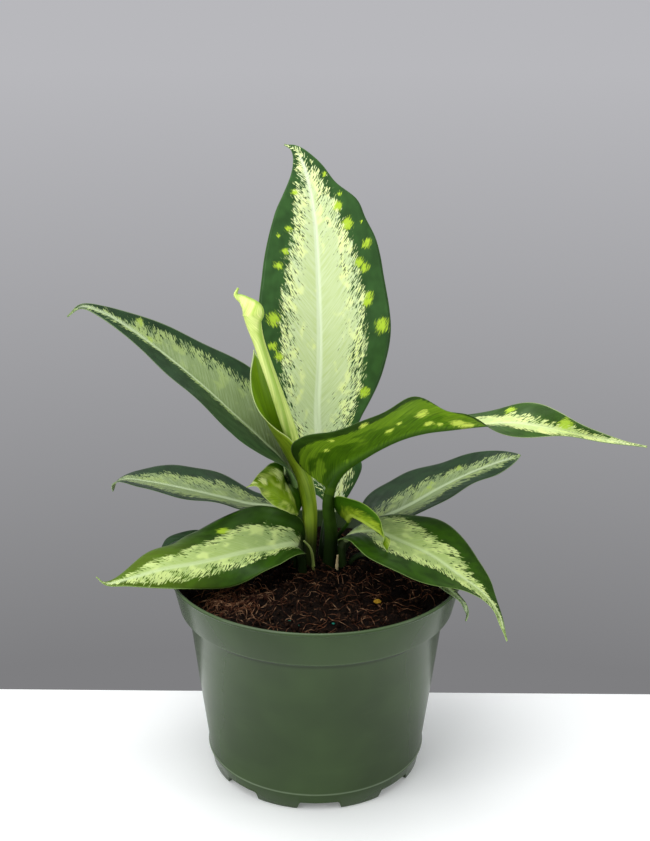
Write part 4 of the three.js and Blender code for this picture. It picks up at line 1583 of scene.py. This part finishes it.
# The twelve blades and the sheath
FOLIAGE = (
    Leaf(
        node="leaf_tall_back", slot="leaf_shaded", upper=TALL, under=DULL_UNDER, seed=1,
        rows=150, rib_line=(2.6, 0.6),
        form=LeafForm(
            spine=(
                (4, 20, ROOT), (4, 20, 114), (5, 24, 124), (7.5, 33, 141), (2, 41, 161),
                (-0.5, 47, 186), (0.5, 52, 217), (0, 57, 250), (-3, 64, 296.5), (-9, 69, 323),
                (-14, 71, 331), (-19.5, 72, 333.48),
            ),
            stalk=38, rib=3.4, face=(0.1, -1, 0.2), roll=(0, 0, 0), fold=(16, 16, 12),
            curl=(9, 12, 12), wave=(1.2, 4, 0, 90),
            outline=(
                (
                    0, 6, 16, 24, 29.5, 33.4, 34.5, 35.4, 36, 36.2, 36, 35.7, 35, 33.7, 32, 30.3,
                    28, 25, 21, 14.8, 8.5, 3.5, 0,
                ),
                (
                    0, 10.6, 21, 20.9, 19, 21.9, 26, 30.1, 34, 37, 39, 39.8, 39.2, 38, 36.5, 35,
                    32.5, 28, 24.5, 15, 10, 4.5, 0,
                ),
            ),
        ),
        marking=Marking(
            left=(0.35, 0.4, 0.43, 0.56, 0.58, 0.61, 0.59, 0.53, 0.46, 0.48, 0),
            right=(0.7, 0.72, 0.72, 0.73, 0.66, 0.62, 0.63, 0.58, 0.5, 0.5, 0.05),
            spots=(
                Spot(0.528, -0.75, 4.5), Spot(0.506, 0.88, 4.5), Spot(0.58, 0.73, 3),
                Spot(0.565, 0.7, 3), Spot(0.713, 0.83, 3), Spot(0.654, 0.73, 3),
                Spot(0.668, -0.72, 2.8), Spot(0.749, -0.8, 1.6), Spot(0.86, -0.57, 2.2),
                Spot(0.838, 0.75, 1.6), Spot(0.889, 0.8, 1.6), Spot(0.764, 0.88, 1.2),
                Spot(0.455, -0.75, 3), Spot(0.425, -0.65, 3), Spot(0.764, -0.6, 2.4),
                Spot(0.705, -0.62, 2.4), Spot(0.337, 0.83, 3.5), Spot(0.808, 0.53, 3),
                Spot(0.764, 0.62, 3.5), Spot(0.668, 0.65, 3),
            ),
        ),
    ),
    Leaf(
        node="leaf_upper_left", slot="leaf_shaded", upper=SHADED, under=DULL_UNDER, seed=2,
        form=LeafForm(
            spine=(
                (-12.3, 14, ROOT), (-12.3, 14, 112), (-14, 12.5, 141), (-20, 10.5, 170.5),
                (-29.5, 9, 182.5), (-42, 10, 195.5), (-64.5, 13, 216.5), (-87, 15, 234.5),
                (-112.5, 15, 251.5), (-123.5, 12, 255.5), (-130, 8, 251),
            ),
            stalk=62, rib=2.7, half=(32, 32), swell=0.32, taper=1.4, face=(0.3, 0, 1),
            roll=(-7, -18, -28, -48), fold=(20, 21, 18), curl=(4, 3, 6), wave=(1, 3, 0, 40),
        ),
        marking=Marking(
            left=(0.1, 0.1, 0.15, 0.2, 0.2, 0.2, 0.2, 0.2, 0.2, 0.3, 0.1),
            right=(0.6, 0.65, 0.7, 0.7, 0.7, 0.68, 0.7, 0.6, 0.36, 0.15, 0),
            spots=(Spot(0.747, 0.62, 2.5), Spot(0.686, 0.07, 2)),
            shift=(0, -0.5, -1, -1.5, -1.8, -1.8, -1.5, -0.5, 0, 0, 0),
        ),
    ),
    Leaf(
        node="leaf_middle_left", slot="leaf_shaded", upper=SHADED, under=DULL_UNDER, seed=3,
        rows=120, half_columns=18,
        form=LeafForm(
            spine=(
                (-12, 20.7, ROOT), (-12, 20.7, 108), (-13, 21.5, 128), (-20.5, 24, 136.5),
                (-40, 27.7, 138.8), (-54, 29.7, 141.8), (-82.5, 33, 147.5), (-96.5, 35, 149.5),
                (-109.5, 36, 150.5), (-115, 36, 148), (-116, 36, 143),
            ),
            stalk=36, rib=2.4, half=(21.5, 21.1), swell=0.87, taper=0.65, face=(0.3, 0, 1),
            roll=(-6, -4, -5, 13), fold=(14, 16, 10), curl=(12, 2, 11), wave=(0.8, 3, 60, 0),
            dents=(Dent(Half.LEFT, 0.95, -4, 0.045), Dent(Half.RIGHT, 0.95, -4, 0.045)),
        ),
        marking=Marking(
            left=(0.7, 0.72, 0.78, 0.78, 0.7, 0.7, 0.7, 0.62, 0.6, 0.7, 1.2),
            right=(0.5, 0.5, 0.55, 0.65, 0.64, 0.54, 0.5, 0.58, 0.46, 0.4, 1.2),
        ),
    ),
    Leaf(
        node="leaf_front_left", slot="leaf_fresh", upper=FRONT, under=FRESH_UNDER, seed=4,
        rows=130,
        form=LeafForm(
            spine=(
                (-8, 2.4, ROOT), (-8, 2.4, 108), (-9, -0.5, 121), (-12, -4, 127.5),
                (-24.5, -9, 128), (-37.5, -15, 128.5), (-50, -22, 128.5), (-62.5, -30, 129),
                (-78.5, -38, 129.5), (-94, -47, 128.5), (-105, -53, 128.5), (-109, -56, 133.5),
            ),
            stalk=24, rib=2.4, half=(17.5, 32), swell=0.7, taper=1.38, face=(0.3, 0.2, 1),
            roll=(-38, -22, -36, -16), fold=(26, 2, 0), curl=(-10, 50, 34), wave=(1, 3, 200, 30),
        ),
        marking=Marking(
            left=(0.2, 0.2, 0.4, 0.48, 0.47, 0.5, 0.6, 0.67, 0.66, 0.38, 0.15),
            right=(0.4, 0.46, 0.55, 0.58, 0.45, 0.42, 0.39, 0.38, 0.34, 0.22, 0.05),
            spots=(Spot(0.34, 0.6, 3.5),),
            fresh=(0.12, 0.15),
        ),
    ),
    Leaf(
        node="leaf_middle_right", slot="leaf_shaded", upper=SHADED, under=DULL_UNDER, seed=5,
        rows=130, half_columns=20,
        form=LeafForm(
            spine=(
                (13, 18.3, ROOT), (13, 18.3, 110), (19.5, 20.5, 122.5), (30, 24, 128),
                (41.5, 28, 132.5), (53.5, 32, 137.5), (70, 37, 146), (86.5, 41, 153.5),
                (99.5, 44, 158), (116, 47, 163),
            ),
            stalk=36, rib=2.4, half=(25.6, 20.7), swell=0.42, taper=0.79, face=(-0.3, 0, 1),
            roll=(7, 8, 7, 29), fold=(20, 13, 10), curl=(1, 7, 12), wave=(0.6, 3, 0, 90),
        ),
        marking=Marking(
            left=(0.4, 0.4, 0.45, 0.46, 0.44, 0.46, 0.45, 0.37, 0.37, 0.5, 0.35),
            right=(0.6, 0.66, 0.7, 0.7, 0.62, 0.5, 0.5, 0.48, 0.38, 0.35, 0.3),
            spots=(Spot(0.65, -0.42, 2.4), Spot(0.446, -0.2, 1.8), Spot(0.47, -0.3, 1.6)),
        ),
    ),
    Leaf(
        node="leaf_front_right", slot="leaf_fresh", upper=FRONT, under=FRESH_UNDER, seed=6,
        rows=130,
        form=LeafForm(
            spine=(
                (14.7, 9.4, ROOT), (14.7, 9.4, 110), (14.4, 8, 124), (18, 5, 129.5),
                (31, -2, 135), (46, -12, 133.5), (61, -24, 131), (74, -35, 125.5),
                (84.5, -44, 121), (92, -50, 113.5), (97.5, -55, 99),
            ),
            stalk=24, rib=2.4, half=(23, 30), swell=1.2, taper=1.76, face=(-0.3, 0.2, 1),
            roll=(2, 9, 2, -40), fold=(15, 14, 13), curl=(15, 4, 6), wave=(0.8, 3, 0, 0),
        ),
        marking=Marking(
            left=(0.65, 0.75, 0.8, 0.72, 0.52, 0.5, 0.5, 0.36, 0.2, 0.3, 0.3),
            right=(0.2, 0.2, 0.3, 0.52, 0.5, 0.42, 0.3, 0.38, 0.9, 0.9, 0.6),
        ),
    ),
    Leaf(
        node="leaf_twisted_right", slot="leaf_bright", upper=TWISTED, under=TWISTED_UNDER,
        seed=7, rows=190, half_columns=24,
        form=LeafForm(
            spine=(
                (7.5, 8.6, ROOT), (7.5, 8.6, 112), (8, 6, 129), (6.3, 0.5, 150.6),
                (9.5, -2, 164.3), (15.5, -4.5, 173.3), (24.5, -7, 180.8), (34, -8, 187),
                (45, -9, 192.5), (56.5, -10, 196), (69, -11, 198), (86.5, -11, 200),
                (102.5, -12, 201), (120.5, -13, 199), (139, -14, 195.5), (156, -15, 192.5),
                (170, -16, 190.5),
            ),
            stalk=60, rib=3.1, half=(35, 36), swell=0.38, taper=1.65, face=(-0.3, 0, 1),
            roll=(-40, -26, -24, -26, 0, 39, 53, 47), fold=(46, 20, 26, 6, 53, 11), curl=(1, 4),
            dents=(
                Dent(Half.RIGHT, 0, -20, 0.045), Dent(Half.RIGHT, 0.29, -3, 0.04),
                Dent(Half.RIGHT, 0.365, 3, 0.035), Dent(Half.RIGHT, 0.435, -10, 0.05),
            ),
        ),
        marking=Marking(
            left=(0.6, 0.6, 0.6, 0.6, 0.6, 0.6, 0.5, 0.35, 0.35, 0.5, 0.6),
            right=(0.6, 0.6, 0.6, 0.65, 0.7, 0.5, 0.3, 0.7, 1.1, 1.2, 1.2),
            spots=(
                Spot(0.24, 0.85, 2.6), Spot(0.28, 0.35, 2.4), Spot(0.31, 0.45, 1.8),
                Spot(0.37, 0.5, 3.6), Spot(0.38, 0.2, 2.6), Spot(0.41, 0.2, 2),
                Spot(0.46, 0.3, 4.6), Spot(0.485, 0.12, 4.4), Spot(0.155, 0.7, 1.8),
                Spot(0.12, 0.5, 1.6), Spot(0.609, -0.7, 3), Spot(0.759, -0.42, 4),
            ),
        ),
    ),
    Leaf(
        node="leaf_small_left", slot="leaf_bright", upper=YOUNG, under=YOUNG_UNDER, seed=8,
        rows=90, half_columns=18,
        form=LeafForm(
            spine=(
                (-11.4, 7.4, ROOT), (-11.4, 7.4, 112), (-11.8, 7.6, 127), (-12, 8.2, 140),
                (-13.8, -2.5, 152.5), (-19, -9, 158), (-25.5, -12.5, 164), (-31.5, -16, 168),
                (-36.5, -18.5, 167.5),
            ),
            stalk=42, rib=1.6, face=(0.4, 0, 1), roll=(-58, -38, -66, -7), fold=(42, 2, 0),
            curl=(26, 52), wave=(1.7, 2.5, 0, 60),
            outline=(
                (0, 2.8, 4.7, 6, 6.5, 6.4, 5.7, 4.5, 3, 1.3, 0),
                (0, 12, 14.5, 16.5, 17.5, 18.5, 19.5, 18, 11, 3.5, 0),
            ),
        ),
        marking=Marking(
            left=(0.5, 0.7, 0.9, 1, 1.1, 1.1, 1.1, 1.1, 1.1, 1, 1),
            right=(-0.2, 0, 0.15, 0.3, 0.5, 0.62, 0.68, 0.7, 0.9, 1, 1),
            spots=(
                Spot(0.42, 0.4, 3), Spot(0.66, 0.55, 3.2), Spot(0.8, 0.3, 2.6),
                Spot(0.9, 0.2, 2),
            ),
        ),
    ),
    Leaf(
        node="leaf_small_right", slot="leaf_bright", upper=YOUNG, under=YOUNG_UNDER, seed=9,
        rows=90, half_columns=16,
        form=LeafForm(
            spine=(
                (8.7, 15.4, ROOT), (8.7, 15.4, 114), (11.8, 13.6, 126), (16.6, 8.5, 135.5),
                (17.9, 1.5, 142.3), (19.5, -5.5, 146), (23.5, -12, 146.5), (28.5, -18, 145.5),
                (33.5, -22, 143.5), (36, -24.5, 141.5), (37.2, -26.5, 134),
            ),
            stalk=44, rib=1.5, half=(11.5, 14.5), swell=0.65, taper=1.3, face=(-0.3, 0, 1),
            roll=(-20, -52, -75, -32), fold=(43, 33, 27), curl=(23, 23), wave=(0.4, 2, 0, 0),
        ),
        marking=Marking(
            left=(0.1, 0.1, 0.1, 0.1, 0.1, 0.1, 0.2, 0.3, 0.4, 0.4, 0.2),
            right=(0.4, 0.4, 0.4, 0.4, 0.4, 0.4, 0.4, 0.4, 0.5, 0.6, 0.6),
        ),
    ),
    Leaf(
        node="leaf_low_left", slot="leaf_shaded", upper=SHADED, under=DULL_UNDER, seed=10,
        rows=90, half_columns=14, rib_line=(-2, -2),
        form=LeafForm(
            spine=(
                (-18, 14.5, ROOT), (-18, 14.5, 111), (-21.5, 14.5, 117.5), (-31.5, 13, 120.5),
                (-48, 12, 122.5), (-64.5, 11, 125), (-78.5, 11, 123.5), (-84, 10.3, 119.5),
                (-87, 9.8, 115),
            ),
            stalk=26, rib=1.8, face=(0.3, 0, 1), roll=(0, 0), fold=(16, 12), curl=(6, 6),
            wave=(0.6, 3, 0, 90),
            outline=(
                (0, 6.5, 8.4, 9, 9, 9, 8.5, 8, 7, 5, 0.3),
                (0, 6.5, 8.6, 9, 8.8, 8.6, 8.6, 8.5, 8.2, 6.5, 0.3),
            ),
        ),
        marking=Marking(
            left=(-0.5, -0.5),
            right=(-0.5, -0.5),
        ),
    ),
    Leaf(
        node="leaf_low_back", slot="leaf_shaded", upper=SHADED, under=DULL_UNDER, seed=11,
        rows=80, half_columns=14,
        form=LeafForm(
            spine=(
                (10, 28, ROOT), (10, 28, 110), (14, 29.5, 115.5), (28, 33, 120), (43, 36, 123.5),
                (56, 38, 123.5), (66, 40, 119),
            ),
            stalk=24, rib=1.8, half=(9.5, 11), swell=0.6, taper=1, face=(-0.3, 0, 1),
            roll=(0, 0), fold=(14, 10), curl=(10, 10), wave=(0.5, 2, 0, 90),
        ),
        marking=Marking(
            left=(0.3, 0.3, 0.3, 0.3, 0.3, 0.2, 0.2, 0.1, 0.1, 0, 0),
            right=(0.3, 0.3, 0.3, 0.3, 0.3, 0.2, 0.2, 0.1, 0.1, 0, 0),
        ),
    ),
    Leaf(
        node="leaf_low_right", slot="leaf_shaded", upper=SHADED, under=DULL_UNDER, seed=12,
        rows=90, half_columns=14,
        form=LeafForm(
            spine=(
                (18.6, 13.4, ROOT), (18.6, 13.4, 110), (24, 11, 116), (45.5, 0, 120.5),
                (57, -14, 122), (62, -26, 121), (68.5, -34, 118), (76.5, -37, 111),
                (78.6, -38, 105), (77.8, -38.5, 101.5),
            ),
            stalk=22, rib=1.7, face=(-0.3, 0, 1), roll=(0, 0), fold=(18, 14), curl=(6, 6),
            wave=(0.4, 2, 0, 90),
            outline=(
                (0, 4.9, 6.7, 7.7, 7.5, 6.5, 5, 3.6, 2.8, 1.6, 0.3),
                (0, 4.9, 6.7, 7.7, 7.5, 6.5, 5, 3.6, 2.6, 1.4, 0.3),
            ),
        ),
        marking=Marking(
            left=(0.6, 0.6, 0.6, 0.6, 0.6, 0.6, 0.6, 0.6, 0.6, 0.3, -0.3),
            right=(0.6, 0.6, 0.6, 0.6, 0.6, 0.6, 0.6, 0.6, 0.6, 0.2, -0.3),
        ),
    ),
    Leaf(
        node="leaf_sheath", slot="sheath", upper=SHEATH_INSIDE, under=SHEATH_OUTSIDE, seed=13,
        rows=120, half_columns=24, quilt=0, groove=0, sheath=True,
        form=LeafForm(
            spine=(
                (-8.3, 10.5, ROOT), (-8.3, 10.5, 112), (-7.4, 10.5, 131), (-7.6, 10.5, 144.5),
                (-9.8, 10.5, 157), (-12.3, 10.5, 164.5), (-16, 10.5, 173), (-20.3, 10.5, 181.5),
                (-24, 10.7, 189.5), (-27, 10.7, 200.5), (-29.8, 10.2, 212), (-31.8, 9, 223),
                (-33.3, 7.5, 234),
            ),
            stalk=0, rib=0.7, face=(1, 0, 0.2), roll=(0, 0, 0, -5, -52, -70),
            fold=(2, 2, 2, 4, 8, 6), curl=(-168, -168, -160, -112, -40, -20),
            outline=(SHEATH_HALF, SHEATH_HALF),
        ),
    ),
)


def main() -> None:
    """Builds the plant in its pot, piece by piece, and the studio around it."""
    logging.basicConfig(level=logging.INFO, format="%(message)s")
    pot = Pot()
    pieces = [pot.build(), *Soil(pot).build()]
    pieces += [part.build() for part in (*FOLIAGE, *SHOOTS)]
    for piece in pieces:
        LOG.info("%s: %d faces", piece.name, len(piece.data.polygons))
    Studio().build()


if __name__ == "__main__":
    main()
